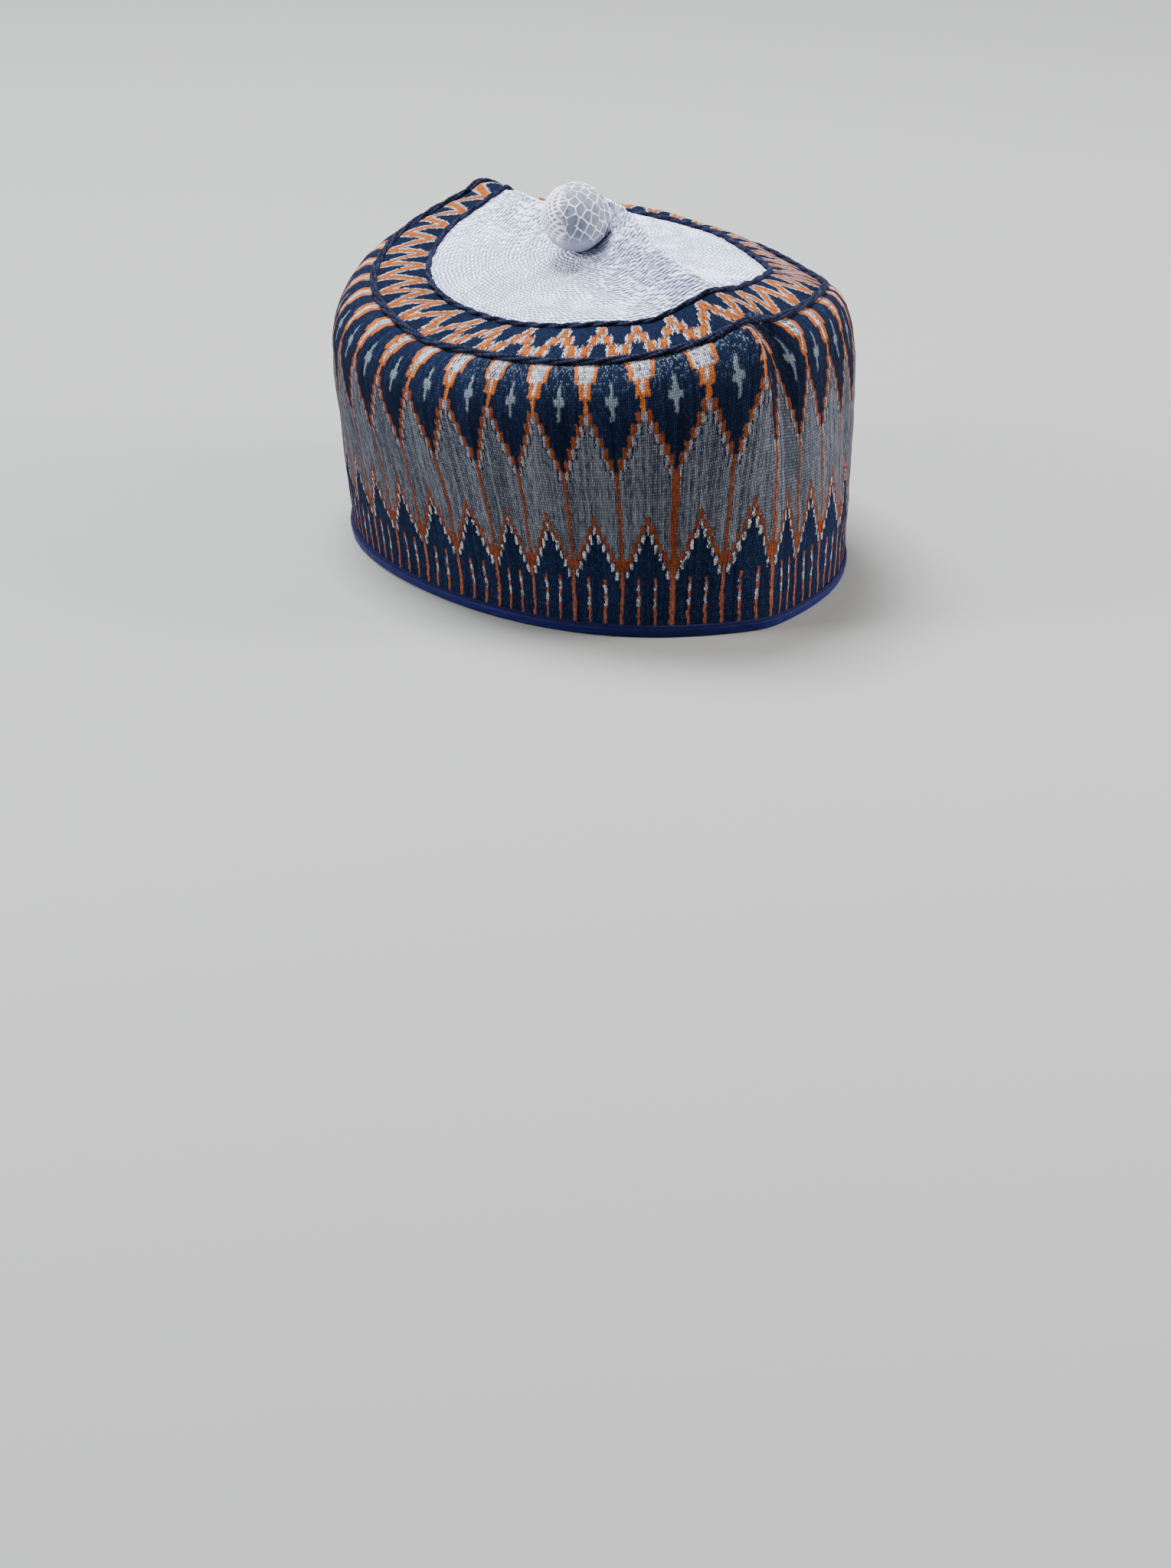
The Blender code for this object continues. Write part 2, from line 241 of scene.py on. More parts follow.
def band_surface(bearing, t):
    """The band's outer face: the rim outline set out by the rows, the folds and the lean."""
    rows = np.array(BAND_ROWS, float)
    levels = np.linspace(0, 1, len(rows))
    share, out, lean = (smooth(t, levels, rows[:, i]) for i in range(3))
    out = out + fold_out(bearing, share) - tuck_in(bearing, t)
    out = out + LEAN * lean * np.cos(np.radians(turn_to(bearing, LEAN_BEARING)))
    out = out - (SATIN + GAP) * np.clip(1 - share / BINDING_STEP_FADE, 0, 1)
    height = share * at_seams(bearing, 1)
    height = height - CORD_BED * eased((t - 1 + BED_REACH) / BED_REACH)
    return polar(bearing, rim_radius(bearing) + out, height)


def rim_length(bearing):
    """How far round the rim a bearing lies from the crease, in mm, and the rim's whole length."""
    fine = np.linspace(-180, 180, 3601)
    points = polar(fine, rim_radius(fine), 0.0)
    along = np.concatenate([[0], np.cumsum(np.linalg.norm(np.diff(points, axis=0), axis=1))])
    return np.interp(bearing, fine, along) - np.interp(0.0, fine, along), along[-1]


def repeats_from(table, length, whole, repeats):
    """The pattern's repeat at a length round the rim: the table, carried once round each way."""
    rows = np.array(table, float)
    places = np.concatenate([rows[:, 1] - whole, rows[:, 1], rows[:, 1] + whole])
    counts = np.concatenate([rows[:, 0] - repeats, rows[:, 0], rows[:, 0] + repeats])
    return np.interp(length, places, counts)


def profile_length():
    """How far up the band's outer face each t lies, in mm, on a wall of the mean height."""
    rows = np.array(BAND_ROWS, float)
    levels = np.linspace(0, 1, len(rows))
    t = np.linspace(0, 1, 401)
    height = smooth(t, levels, rows[:, 0]) * MEAN_HEIGHT
    out = smooth(t, levels, rows[:, 1])
    return t, np.concatenate([[0], np.cumsum(np.hypot(np.diff(height), np.diff(out)))])


def normals_of(rows):
    """Unit normals of a grid of points that closes round: along the rows crossed with up them."""
    round_it = np.roll(rows, -1, axis=1) - np.roll(rows, 1, axis=1)
    up_it = np.gradient(rows, axis=0)
    n = np.cross(round_it, up_it)
    return n / np.maximum(np.linalg.norm(n, axis=-1, keepdims=True), 1e-9)


def wander(points, wavelength, seed, waves=14):
    """Smooth unevenness between about -1 and 1: a sum of plane waves in seeded directions."""
    rng = np.random.default_rng(seed)
    total = np.zeros(points.shape[:-1])
    for _ in range(waves):
        way = rng.normal(size=3)
        way *= 2 * math.pi / (wavelength * rng.uniform(0.7, 1.5)) / np.linalg.norm(way)
        total += np.cos(points @ way + rng.uniform(0, 2 * math.pi))
    return total / math.sqrt(waves / 2) / 1.6


def stations_round():
    """Bearings round the cap, closest together at the front crease and the back peak."""
    s = np.arange(AROUND) * 2 / AROUND - 1
    return 180 * (s - CROWDING * np.sin(2 * np.pi * s) / (2 * np.pi))


def mesh_of(name, points, faces, corner_uv):
    """A smooth mesh from points in mm, each face's point numbers and a UV for each corner."""
    data = bpy.data.meshes.new(name)
    data.from_pydata((points * MM).tolist(), [], faces)
    data.uv_layers.new(name="cloth").data.foreach_set("uv", corner_uv.ravel())
    data.shade_smooth()
    return data


def round_mesh(name, rows, uv, seam_u=0.0, tips=None, close_rows=False):
    """A mesh from rows of points that close round. tips fan its first and last row to a point."""
    count, stations = rows.shape[:2]
    here = np.arange(stations)
    beside = (here + 1) % stations
    last_row = count if close_rows else count - 1
    low = (np.arange(last_row) * stations)[:, None]
    high = ((np.arange(last_row) + 1) % count * stations)[:, None]
    quads = side_by_side(low + here, low + beside, high + beside, high + here)
    flat_uv = uv.reshape(-1, 2)
    quad_uv = flat_uv[quads]
    quad_uv[:, -1, 1:3, 0] += seam_u
    points = rows.reshape(-1, 3)
    faces = quads.reshape(-1, 4).tolist()
    corners = [quad_uv.reshape(-1, 2)]
    if tips is not None:
        first, last = len(points), len(points) + 1
        points = np.concatenate([points, tips])
        top = (count - 1) * stations
        for tip, start, turned in ((first, 0, True), (last, top, False)):
            pair = (start + beside, start + here) if turned else (start + here, start + beside)
            fan = side_by_side(*pair, tip)
            faces += fan.tolist()
            fan_uv = flat_uv[fan[:, :2]]
            fan_uv[-1, 0 if turned else 1, 0] += seam_u
            middle = fan_uv.mean(axis=1, keepdims=True)
            middle[..., 1] = 0.0 if turned else 1.0
            corners.append(np.concatenate([fan_uv, middle], axis=1).reshape(-1, 2))
    return mesh_of(name, points, faces, np.concatenate(corners))


def place(name, data, look, slot_name, *nodes):
    """Puts a finished mesh in the scene as a piece that stands for its solid."""
    piece = bpy.data.objects.new(name, data)
    bpy.context.scene.collection.objects.link(piece)
    data.materials.append(look)
    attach(piece, "root")
    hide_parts(*nodes)
    return piece


class Shade:
    """A value or colour that varies over the cloth. Arithmetic on it adds Math nodes."""

    def __init__(self, tree, socket):
        self.tree = tree
        self.socket = socket

    def node(self, kind, settings, values, out=0):
        """Any other node: its settings first, then the values or links of its sockets."""
        made = self.tree.nodes.new(kind)
        for key, value in settings.items():
            setattr(made, key, value)
        for key, value in values.items():
            if isinstance(value, Shade):
                self.tree.links.new(value.socket, made.inputs[key])
            else:
                made.inputs[key].default_value = value
        return Shade(self.tree, made.outputs[out])

    def math(self, operation, *others, clamp=False):
        settings = {"operation": operation, "use_clamp": clamp}
        return self.node("ShaderNodeMath", settings, dict(enumerate((self, *others))))

    def __add__(self, other):
        return self.math("ADD", other)

    def __radd__(self, other):
        return self.math("ADD", other)

    def __sub__(self, other):
        return self.math("SUBTRACT", other)

    def __rsub__(self, other):
        return (self * -1.0) + other

    def __mul__(self, other):
        return self.math("MULTIPLY", other)

    def __rmul__(self, other):
        return self.math("MULTIPLY", other)

    def __truediv__(self, other):
        return self.math("DIVIDE", other)

    def __abs__(self):
        return self.math("ABSOLUTE")

    def part(self):
        """What is left above the whole number."""
        return self.math("FRACT")

    def whole(self):
        return self.math("FLOOR")

    def over(self, edge, soft=0.2):
        """1 where the value is over the edge, 0 under it, with a soft step between."""
        return (self - edge).math("MULTIPLY_ADD", 1 / soft, 0.5, clamp=True)

    def under(self, edge, soft=0.2):
        return (self - edge).math("MULTIPLY_ADD", -1 / soft, 0.5, clamp=True)

    def within(self, low, high, soft=0.2):
        return self.over(low, soft) * self.under(high, soft)

    def mix(self, low, high):
        """The low colour where the value is 0 and the high one where it is 1."""
        colours = {0: self}
        for socket, colour in ((6, low), (7, high)):
            colours[socket] = colour if isinstance(colour, Shade) else (*colour, 1.0)
        return self.node("ShaderNodeMix", {"data_type": "RGBA"}, colours, out=2)

    def vector(self, y, z=0.0):
        return self.node("ShaderNodeCombineXYZ", {}, {0: self, 1: y, 2: z})

    def noise(self, scale, detail=2.0, roughness=0.5):
        """Soft noise between 0 and 1 at this place."""
        values = {"Vector": self, "Scale": scale, "Detail": detail, "Roughness": roughness}
        return self.node("ShaderNodeTexNoise", {}, values)

    def chance(self):
        """A different number between 0 and 1 for each whole place."""
        return self.node("ShaderNodeTexWhiteNoise", {}, {"Vector": self})


def start_cloth(name, roughness):
    """A new material. Returns it, its shader, and its U, V and object place as Shades."""
    look = bpy.data.materials.new(name)
    look.use_nodes = True
    tree = look.node_tree
    shader = tree.nodes["Principled BSDF"]
    shader.inputs["Roughness"].default_value = roughness
    shader.inputs["Specular IOR Level"].default_value = 0.05
    uv = Shade(tree, tree.nodes.new("ShaderNodeUVMap").outputs[0])
    u = uv.node("ShaderNodeSeparateXYZ", {}, {0: uv})
    v = Shade(tree, u.socket.node.outputs[1])
    spot = Shade(tree, tree.nodes.new("ShaderNodeTexCoord").outputs["Object"])
    return look, shader, u, v, spot


def finish_cloth(shader, colour, height, depth):
    """Joins a colour and a bump, whose height of 1 stands depth mm proud, to the shader."""
    tree = colour.tree
    tree.links.new(colour.socket, shader.inputs["Base Color"])
    settings = {"Strength": 1.0, "Distance": depth * MM, "Height": height}
    normal = colour.node("ShaderNodeBump", {}, settings)
    tree.links.new(normal.socket, shader.inputs["Normal"])


STITCH_LEAN = 1.25


def knit_stitch(column, row, spot):
    """The legs of plain knitting, one V to a column and row, which sway a little by the place.

    Returns the height of the yarn between 0 and 1 and three numbers by chance: two for each leg
    and one for each column.
    """
    column = column + (spot.noise(700.0) - 0.5) * 0.2
    row = row + (spot.noise(420.0) - 0.5) * 0.2
    across = abs(column.part() - 0.5)
    leg = 1.0 - (across * 4.0 - 1.0).math("POWER", 2.0)
    climbing = row - across * STITCH_LEAN
    along = climbing.part() * 2.0 - 1.0
    rounded = (1.0 - along * along * 0.75) * across.under(0.46, 0.12)
    side = column.part().over(0.5, 0.01)
    tone = column.whole().vector(climbing.whole(), side).chance()
    wale = column.whole().vector(0.5).chance()
    return (leg * rounded).math("MAXIMUM", 0.0), tone, (tone * 7.0).part(), wale


# Each yarn has a dark and a light colour. The dark is painted shade: the looks mix from it where a
# stitch lies low to the light one where the stitch stands high, so the hollows between the legs are
# shaded.
NAVY_DARK = (0.0008, 0.0026, 0.011)
NAVY_LIGHT = (0.0145, 0.03, 0.088)
GREY_DARK = (0.007, 0.011, 0.022)
GREY_LIGHT = (0.215, 0.23, 0.275)
GROOVE_SHADE = (0.004, 0.007, 0.018)
RUST_DARK, RUST = (0.03, 0.006, 0.003), (0.22, 0.055, 0.02)
ORANGE_DARK, ORANGE = (0.06, 0.012, 0.004), (0.52, 0.14, 0.026)
RUST_NEAR_RIM_DARK, RUST_NEAR_RIM = (0.05, 0.012, 0.006), (0.4, 0.115, 0.06)
CREAM_DARK, CREAM = (0.045, 0.05, 0.07), (0.33, 0.33, 0.345)
WHITE_DARK, WHITE = (0.03, 0.035, 0.055), (0.64, 0.64, 0.69)
FLECK = (0.23, 0.275, 0.31)
BAND_COLUMNS = 24
BAND_WALES = 16
HALF = BAND_COLUMNS / 2
LOWER_FOOT, LOWER_STEP = 21.3, 3.4
UPPER_FOOT, UPPER_STEP = 58.0, 4.12
LINE_HALF, FRONT_LINE_HALF = 0.8, 1.15
DASH_PLACE, DASH_HALF, DASH_TOP = 8.0, 0.66, 21.6
STEM_MIDDLE = 85.0
WEDGE_FOOT, WEDGE_WIDENS = 87.2, 93.0
CROSS_MIDDLE, CROSS_ARM, CROSS_BAR = 86.3, 6.4, 2.4


def stitched_block(x, y, soft=0.35):
    """A rounded block of stitches that fills -1 to 1 both ways, and how proud it stands."""
    edge = abs(x).math("POWER", 3.0) * 0.8 + abs(y).math("POWER", 3.0)
    return edge.under(0.9, soft), (1.0 - edge * 0.8).math("MAXIMUM", 0.0)


def stepped_line(v, x, step, foot, rise, aside):
    """A zigzag of stitched blocks: a cream one, with a rust one above it, in each step."""
    up = v - (step - 1.0) * rise - foot
    cream, cream_proud = stitched_block((x + aside) * 1.3, up * (1.95 / rise) - 1.0)
    rust, rust_proud = stitched_block(x * 0.86, up * (1.85 / rise) - 2.7)
    return up, cream, rust, cream * cream_proud * 0.7 + rust * rust_proud


def zigzags(up, side):
    """The two stepped zigzags and the grey between them: its share, then each yarn's share."""
    step = ((side + 1.0) * 0.5).whole().math("MAXIMUM", 1.0)
    x = (side - step * 2.0).math("MAXIMUM", -1.0)
    off_line = side.over(1.0, 0.3)
    up_lower, white, rust_lower, proud_lower = stepped_line(
        up, x, step, LOWER_FOOT, LOWER_STEP, -0.15
    )
    up_upper, cream, rust_upper, proud_upper = stepped_line(
        up, x, step, UPPER_FOOT, UPPER_STEP, 0.3
    )
    rust_upper = rust_upper * (HALF - side).over(1.0, 0.05)
    grey = up_lower.over(2 * LOWER_STEP, 0.5) * up_upper.under(0.0, 0.5)
    rust = (rust_lower * off_line).math("MAXIMUM", rust_upper * off_line)
    proud = (proud_lower + proud_upper) * off_line
    return grey, white * off_line, cream * off_line, rust, proud


def upright_lines(up, side, repeat):
    """The long rust line of each repeat, wider at the front, and the dashes beside it."""
    line = side.under(LINE_HALF, 0.4) * up.under(UPPER_FOOT + UPPER_STEP * 0.8, 0.8)
    front = side.under(up * 0.008 + FRONT_LINE_HALF, 0.4) * up.under(UPPER_FOOT + 3.0, 0.8)
    line = line.math("MAXIMUM", abs(repeat).under(0.5, 0.1) * front)
    low, high = LOWER_FOOT + 3.4, LOWER_FOOT + 7.8
    valley = side.under(up * 0.6 - 14.6, 0.4) * up.within(low, high, 0.8)
    line = line.math("MAXIMUM", valley)
    dash = abs(side - DASH_PLACE).under(DASH_HALF, 0.35)
    white = dash * (up.within(16.6, 19.1, 0.4) + up.within(11.4, 14.4, 0.4))
    return line, dash * up.under(DASH_TOP, 0.5), white


def shoulder_wedge(up, peak, u):
    """The orange wedge over each peak, on a short stem, and its white core, narrower far round."""
    widens = WEDGE_WIDENS
    stem = peak.under(1.1 - abs(up - STEM_MIDDLE) * 0.18, 0.3)
    stem = stem * up.within(STEM_MIDDLE - 3.0, STEM_MIDDLE + 3.0, 0.6)
    low = peak.under(2.9, 0.4) * up.within(WEDGE_FOOT, widens + 0.4, 0.6)
    high = peak.under(up.math("MULTIPLY_ADD", 0.14, -8.1), 0.4) * up.over(widens, 0.6)
    low_core = peak.under(0.75, 0.4) * up.within(WEDGE_FOOT + 1.1, widens + 1.0, 0.5)
    far_round = (abs(u + 1.2) - 3.4).math("MULTIPLY", 0.5, clamp=True)
    half_core = up.math("MULTIPLY_ADD", 0.13, -8.9) - far_round * 1.6
    core = low_core + peak.under(half_core, 0.4) * up.over(widens, 0.6)
    return (stem + low + high).math("MINIMUM", 1.0), core.math("MINIMUM", 1.0)


def small_cross(up, side):
    """The grey cross in the middle of the navy between two wedges."""
    off = abs(up - CROSS_MIDDLE)
    arm = side.under(0.95 - off * 0.06, 0.5) * off.under(CROSS_ARM, 1.2)
    bar = side.under(CROSS_BAR, 0.7) * off.under(1.4, 0.7)
    return arm.math("MAXIMUM", bar)


def band_look():
    look, shader, u, v, spot = start_cloth("patterned_knit", 0.85)
    height, tone, ragged, wale = knit_stitch(u * BAND_WALES, v, spot)
    wobble = (spot.noise(230.0) - 0.5) * 1.2 + (spot.noise(75.0) - 0.5) * 2.2
    across = u * BAND_COLUMNS + wobble + (tone - 0.5) * 0.7
    up = v + (spot.noise(190.0) - 0.5) * 1.8 + (ragged - 0.5) * 1.0
    charted = across / BAND_COLUMNS + 0.5
    side = abs(charted.part() - 0.5) * BAND_COLUMNS
    peak = HALF - side

    # More pale flecks toward the front of the shoulder.
    front_shoulder = abs(u + 0.7).under(3.4, 2.5) * up.over(94.0, 16.0)
    flecks = tone.over(0.9 - front_shoulder * 0.25, 0.3) * (0.03 + front_shoulder * 0.5)
    # Painted light and shade: the navy is lighter toward the shoulder and toward the rim and darker
    # on the middle of the wall, where shade falls, with each wale's own tone added. Its few lighter
    # raised legs are painted highlight.
    painted_light_and_tone = up.over(88.0, 30.0) * 0.5 + up.under(34.0, 16.0) * 0.7
    painted_light_and_tone = painted_light_and_tone + wale * 0.8 + spot.noise(60.0) * 0.2
    navy = (height * (0.3 + tone * tone * 0.6) * painted_light_and_tone).mix(NAVY_DARK, NAVY_LIGHT)
    navy = (flecks * height).mix(navy, FLECK)
    # Painted shade: the grey is darker where a stitch lies low and along its grooves, where shade
    # falls between the ribs.
    shaded_grooves = (u * 62.0).vector(v * 0.1, 0.0).noise(1.0, 1.0).under(0.38, 0.12)
    streak = (u * 26.0).vector(v * 0.35, 0.0).noise(1.0, 2.0)
    heather = height * (0.5 + tone * 0.55) + (streak - 0.5) * 0.5 + (wale - 0.6) * 0.3
    heather = heather.math("MULTIPLY", 1.0, clamp=True).mix(GREY_DARK, GREY_LIGHT)
    heather = (shaded_grooves * 0.65).mix(heather, GROOVE_SHADE)

    # Painted shade: the rust, orange, cream and white yarns darken where a stitch lies low, between
    # its legs.
    grain = ((0.4 + height * 0.6) * (0.45 + tone * 0.7)).math("MINIMUM", 1.0)
    rust_yarn = grain.mix(RUST_DARK, RUST)
    orange_yarn = (grain * (0.75 + wale * 0.35)).mix(ORANGE_DARK, ORANGE)
    cream_yarn = (height * (0.3 + tone)).mix(CREAM_DARK, CREAM)
    white_yarn = (height * (tone * 1.3 + wale * 0.5 - 0.1)).mix(WHITE_DARK, WHITE)
    # A paler salmon rust near the rim.
    rust_low = up.under(22.0, 8.0).mix(rust_yarn, grain.mix(RUST_NEAR_RIM_DARK, RUST_NEAR_RIM))
    rust_top = up.over(70.0, 22.0).mix(rust_yarn, orange_yarn)

    grey, white, cream, rust, proud = zigzags(up, side)
    line, dash, dash_white = upright_lines(up, side, charted.whole())
    wedge, core = shoulder_wedge(up, peak, u)
    cross = small_cross(up, side) * (0.25 + height * 0.75) * (0.55 + tone * 0.4)
    colour = cross.mix(grey.mix(navy, heather), FLECK)
    laid = (
        (white, white_yarn),
        (cream, cream_yarn),
        (rust, rust_yarn),
        (line, rust_low),
        (dash, rust_low),
        (dash_white, white_yarn),
        (wedge, rust_top),
        (core, white_yarn),
    )
    for share, yarn in laid:
        colour = share.mix(colour, yarn)
    raised = (proud + (line + dash + wedge) * 0.6).math("MINIMUM", 1.0) - shaded_grooves * grey
    finish_cloth(shader, colour, height * 0.5 + raised * 0.8, 0.5)
    return look


bearings = stations_round()
around_rim, rim_whole = rim_length(bearings)
outer_t = np.linspace(0, 1, BAND_OUTER_ROWS)[:, None]
band_rows = band_surface(bearings, outer_t)
low_corner, high_corner = (np.array(corner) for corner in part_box("rim_binding"))
rim = polar(bearings, rim_radius(bearings), 0.0)
SHIFT = 0.5 * (low_corner + high_corner) / MM - 0.5 * (rim.min(axis=0) + rim.max(axis=0))
SHIFT[2] = 0.0


def drift_off(grown):
    """Each place's length round the rim with the pattern's drift to that height taken off."""
    places, drifts = np.array(DRIFT_ROWS, float).T
    start = around_rim
    for _ in range(DRIFT_PASSES):
        wrapped = (start - places[0]) % rim_whole + places[0]
        wrapped = np.minimum(wrapped, places[-1])
        start = around_rim - smooth(wrapped, places, drifts) * grown
    return start


def pattern_repeat(t):
    """The repeat that each place of the band lies in.

    It is read from the pitch table after the drift is taken off. At the tuck's edge the fold hides
    a part of one repeat, and by the shoulder cord the gather table takes over on its right.
    """
    growth_t, growth = np.array(DRIFT_GROWTH, float).T
    start = drift_off(smooth(t, growth_t, growth))
    near_edge = np.exp(-(((around_rim + 4.0) / 6.0) ** 2))
    pulled = eased((t - 0.68) / 0.12) * (1 - eased((t - 0.92) / 0.08))
    start = start - EDGE_PULL * near_edge * pulled
    here = repeats_from(PITCH_ROWS, start, rim_whole, REPEATS)
    past = around_rim - tuck_rows_at(t)[0]
    in_fold = eased((past + 0.3) / 0.9) * (1 - eased((past - 1.0) / FOLD_REACH))
    hidden = FOLD_HIDES_LOW * eased((t - 0.05) / 0.2) + FOLD_HIDES_HIGH * eased((t - 0.43) / 0.11)
    here = here + in_fold * hidden * (1 - eased((t - 0.62) / 0.12))
    here = here + BESIDE_FOLD * np.exp(-(((past - 8.0) / 4.5) ** 2)) * eased((t - 0.42) / 0.2)
    counts, arcs = np.array(GATHER_ROWS, float).T
    gathered = np.interp(past, arcs, counts)
    beside = eased((past - arcs[0]) / 1.2) * (1 - eased((past - arcs[-2]) / 26.0))
    return here + (gathered - here) * beside * eased((t - 0.6) / 0.3)


def make_side_band():
    levels, lengths = profile_length()
    outer = band_rows + SHIFT
    normal = normals_of(outer)
    soft = 0.22 * wander(outer, 26.0, 3) + 0.12 * wander(outer, 9.0, 4)
    fades = eased(outer_t / 0.1) * eased((1 - outer_t) / 0.06)
    outer = outer + normal * (soft * fades)[..., None]
    outer[:, :, 2] = np.maximum(outer[:, :, 2], SATIN + GAP)
    inner_t = np.linspace(1, 0, BAND_INNER_ROWS)[:, None]
    inner_outer = band_surface(bearings, inner_t) + SHIFT
    inner = inner_outer - KNIT * normals_of(inner_outer[::-1])[::-1]
    inner[:, :, 2] = np.maximum(inner[:, :, 2], SATIN + GAP)
    t_all = np.concatenate([outer_t, inner_t])
    rows = np.concatenate([outer, inner])
    u = pattern_repeat(t_all)
    v = np.interp(t_all, levels, lengths)
    data = round_mesh("side_band", rows, side_by_side(u, v), REPEATS, close_rows=True)
    return place("patterned_band", data, band_look(), "navy_knit", "side_band")


make_side_band()


# Rim binding: a strip of royal blue satin cut on the bias, folded over the band's lower edge and
# stitched through just under its upper edge, where a dark line of thread shows. Painted shade
# darkens the top edge of its outer face, where it meets the band.
SATIN_DARK = (0.0012, 0.0015, 0.02)
SATIN_LIGHT = (0.0062, 0.0095, 0.112)


def binding_profile():
    """The channel's section as inset from the rim and height: out and round, then back inside."""
    width = 2 * SATIN + 3 * GAP + KNIT
    a = np.linspace(0, np.pi, 17)
    squared = 0.55
    foot_x = 0.5 * width * (1 - np.sign(np.cos(a)) * np.abs(np.cos(a)) ** squared)
    foot_z = 1.7 * (1 - np.sin(a) ** squared)
    leg = np.linspace(BINDING_HEIGHT - 0.35, 1.9, 7)
    bulge = -0.28 * np.sin(np.pi * (leg - 1.7) / (BINDING_HEIGHT - 1.7))
    outside = np.concatenate(
        [
            side_by_side(bulge, leg),
            side_by_side(foot_x, foot_z),
            side_by_side(width - bulge, leg)[::-1],
        ]
    )
    top = np.array([[width - 0.4, BINDING_HEIGHT], [width - SATIN, BINDING_HEIGHT - 0.3]])
    inside_x = [width - SATIN, width - SATIN - 0.4, SATIN + 0.4, SATIN]
    inside_z = [1.6, SATIN, SATIN, 1.6]
    inside = side_by_side(inside_x, inside_z)
    last = np.array([[SATIN, BINDING_HEIGHT - 0.3], [0.4, BINDING_HEIGHT]])
    return np.concatenate([outside, top, inside, last])


def binding_look():
    look, shader, u, v, _ = start_cloth("bias_satin", 0.42)
    shader.inputs["Specular IOR Level"].default_value = 0.14
    slant = (u * 1.0).vector(v + u * 0.02, 0.0)
    thread = (u * 2.2 + v * 9.0).vector(v * 2.0, 0.0).noise(1.6, 2.0)
    crease = (u * 0.16 + v * 1.1).vector(v * 0.4, 0.0).noise(1.0, 3.0)
    # Painted shade and sheen: the satin is darker and lighter along its creases; the thread noise is
    # the weave's own tone.
    tone = (crease * 0.6 + thread * 0.5).math("MULTIPLY_ADD", 1.6, -0.35, clamp=True)
    colour = tone.mix(SATIN_DARK, SATIN_LIGHT)
    # Painted shade: a dark band along the top edge of the outer face, where the binding meets the
    # band.
    seam = v.under(0.9, 0.3)
    stitch = (u * 0.45).part().within(0.12, 0.85, 0.1) * v.within(0.1, 0.6, 0.15)
    colour = (seam * 0.8).mix(colour, (0.001, 0.0012, 0.01))
    colour = (stitch * 0.6).mix(colour, (0.008, 0.009, 0.04))
    rough = slant.noise(0.7) * 0.2 + 0.38 + seam * 0.4
    shader.id_data.links.new(rough.socket, shader.inputs["Roughness"])
    finish_cloth(shader, colour, crease * 0.8 + thread * 0.2 - seam * 0.5, 0.35)
    return look


def make_rim_binding():
    profile = binding_profile()[::-1]
    lengths = np.concatenate([[0], np.cumsum(np.linalg.norm(np.diff(profile, axis=0), axis=1))])
    rim = rim_radius(bearings)
    rows = np.stack([polar(bearings, rim - inset, height) for inset, height in profile]) + SHIFT
    wave = 0.09 * wander(rows, 7.0, 11) + 0.06 * wander(rows, 3.5, 12)
    outside = (np.arange(len(profile)) > 6)[:, None] * (rows[..., 2] > 0.6)
    rows = rows + polar(bearings, 1.0, 0.0) * (wave * outside)[..., None]
    rows[..., 2] -= rows[..., 2].min(axis=0)
    uv = side_by_side(around_rim, (lengths[-1] - lengths)[:, None])
    data = round_mesh("rim_binding", rows, uv, rim_whole, close_rows=True)
    return place("satin_binding", data, binding_look(), "blue_satin", "rim_binding")


make_rim_binding()


# Shoulder cord: three strands of dark navy wool laid together with a long twist, sewn down over
# the seam between the side band and the top ring. Its ends are joined, so it runs right round.
SHOULDER_SEAM_INSET = 10.6
CROWN_SEAM_INSET = 30.9
SHOULDER_TURNS = 17
STRAND_RADIUS = 0.68
LAY_RADIUS = 0.8
FLATTEN = 0.8
CORD_STATIONS = 900
STRAND_SIDES = 10
CORD_DARK = (0.0014, 0.0018, 0.006)
CORD_LIGHT = (0.0165, 0.02, 0.048)


def ring_line(bearing, t):
    """From the shoulder seam, t 0, to the crown seam, t 1: straight across with a low arch."""
    inset = SHOULDER_SEAM_INSET + (CROWN_SEAM_INSET - SHOULDER_SEAM_INSET) * t
    low, high = at_seams(bearing, 1), at_seams(bearing, 2)
    height = low + (high - low) * t + at_seams(bearing, 3) * np.sin(np.pi * t)
    radius = rim_radius(bearing) - inset + fold_out(bearing, 1.0) * (1 - t)
    return polar(bearing, radius, height)


def cord_look(name):
    look, shader, u, v, spot = start_cloth(name, 0.8)
    plies = 1.0 - abs((u * 0.55 + v * 2.0).part() * 2.0 - 1.0).math("POWER", 3.0)
    fibres = (u * 0.6 + v * 2.0).vector(v * 14.0, 0.0).noise(2.2, 3.0, 0.6)
    fluff = spot.noise(2600.0, 2.0)
    lumps = (spot.noise(360.0, 2.0) - 0.5) * 1.5
    # Painted shade and highlight: the tone is darker in the grooves between the plies and lighter on
    # their crowns; the fibres, fluff and lumps are the wool's own tone.
    tone = fibres * 0.55 + fluff * 0.45 + plies * 0.35 + lumps
    tone = tone.math("MULTIPLY_ADD", 1.4, -0.5, clamp=True)
    colour = tone.mix(CORD_DARK, CORD_LIGHT)
    finish_cloth(shader, colour, plies * 0.7 + fibres * 0.4 + fluff * 0.3, 0.3)
    return look


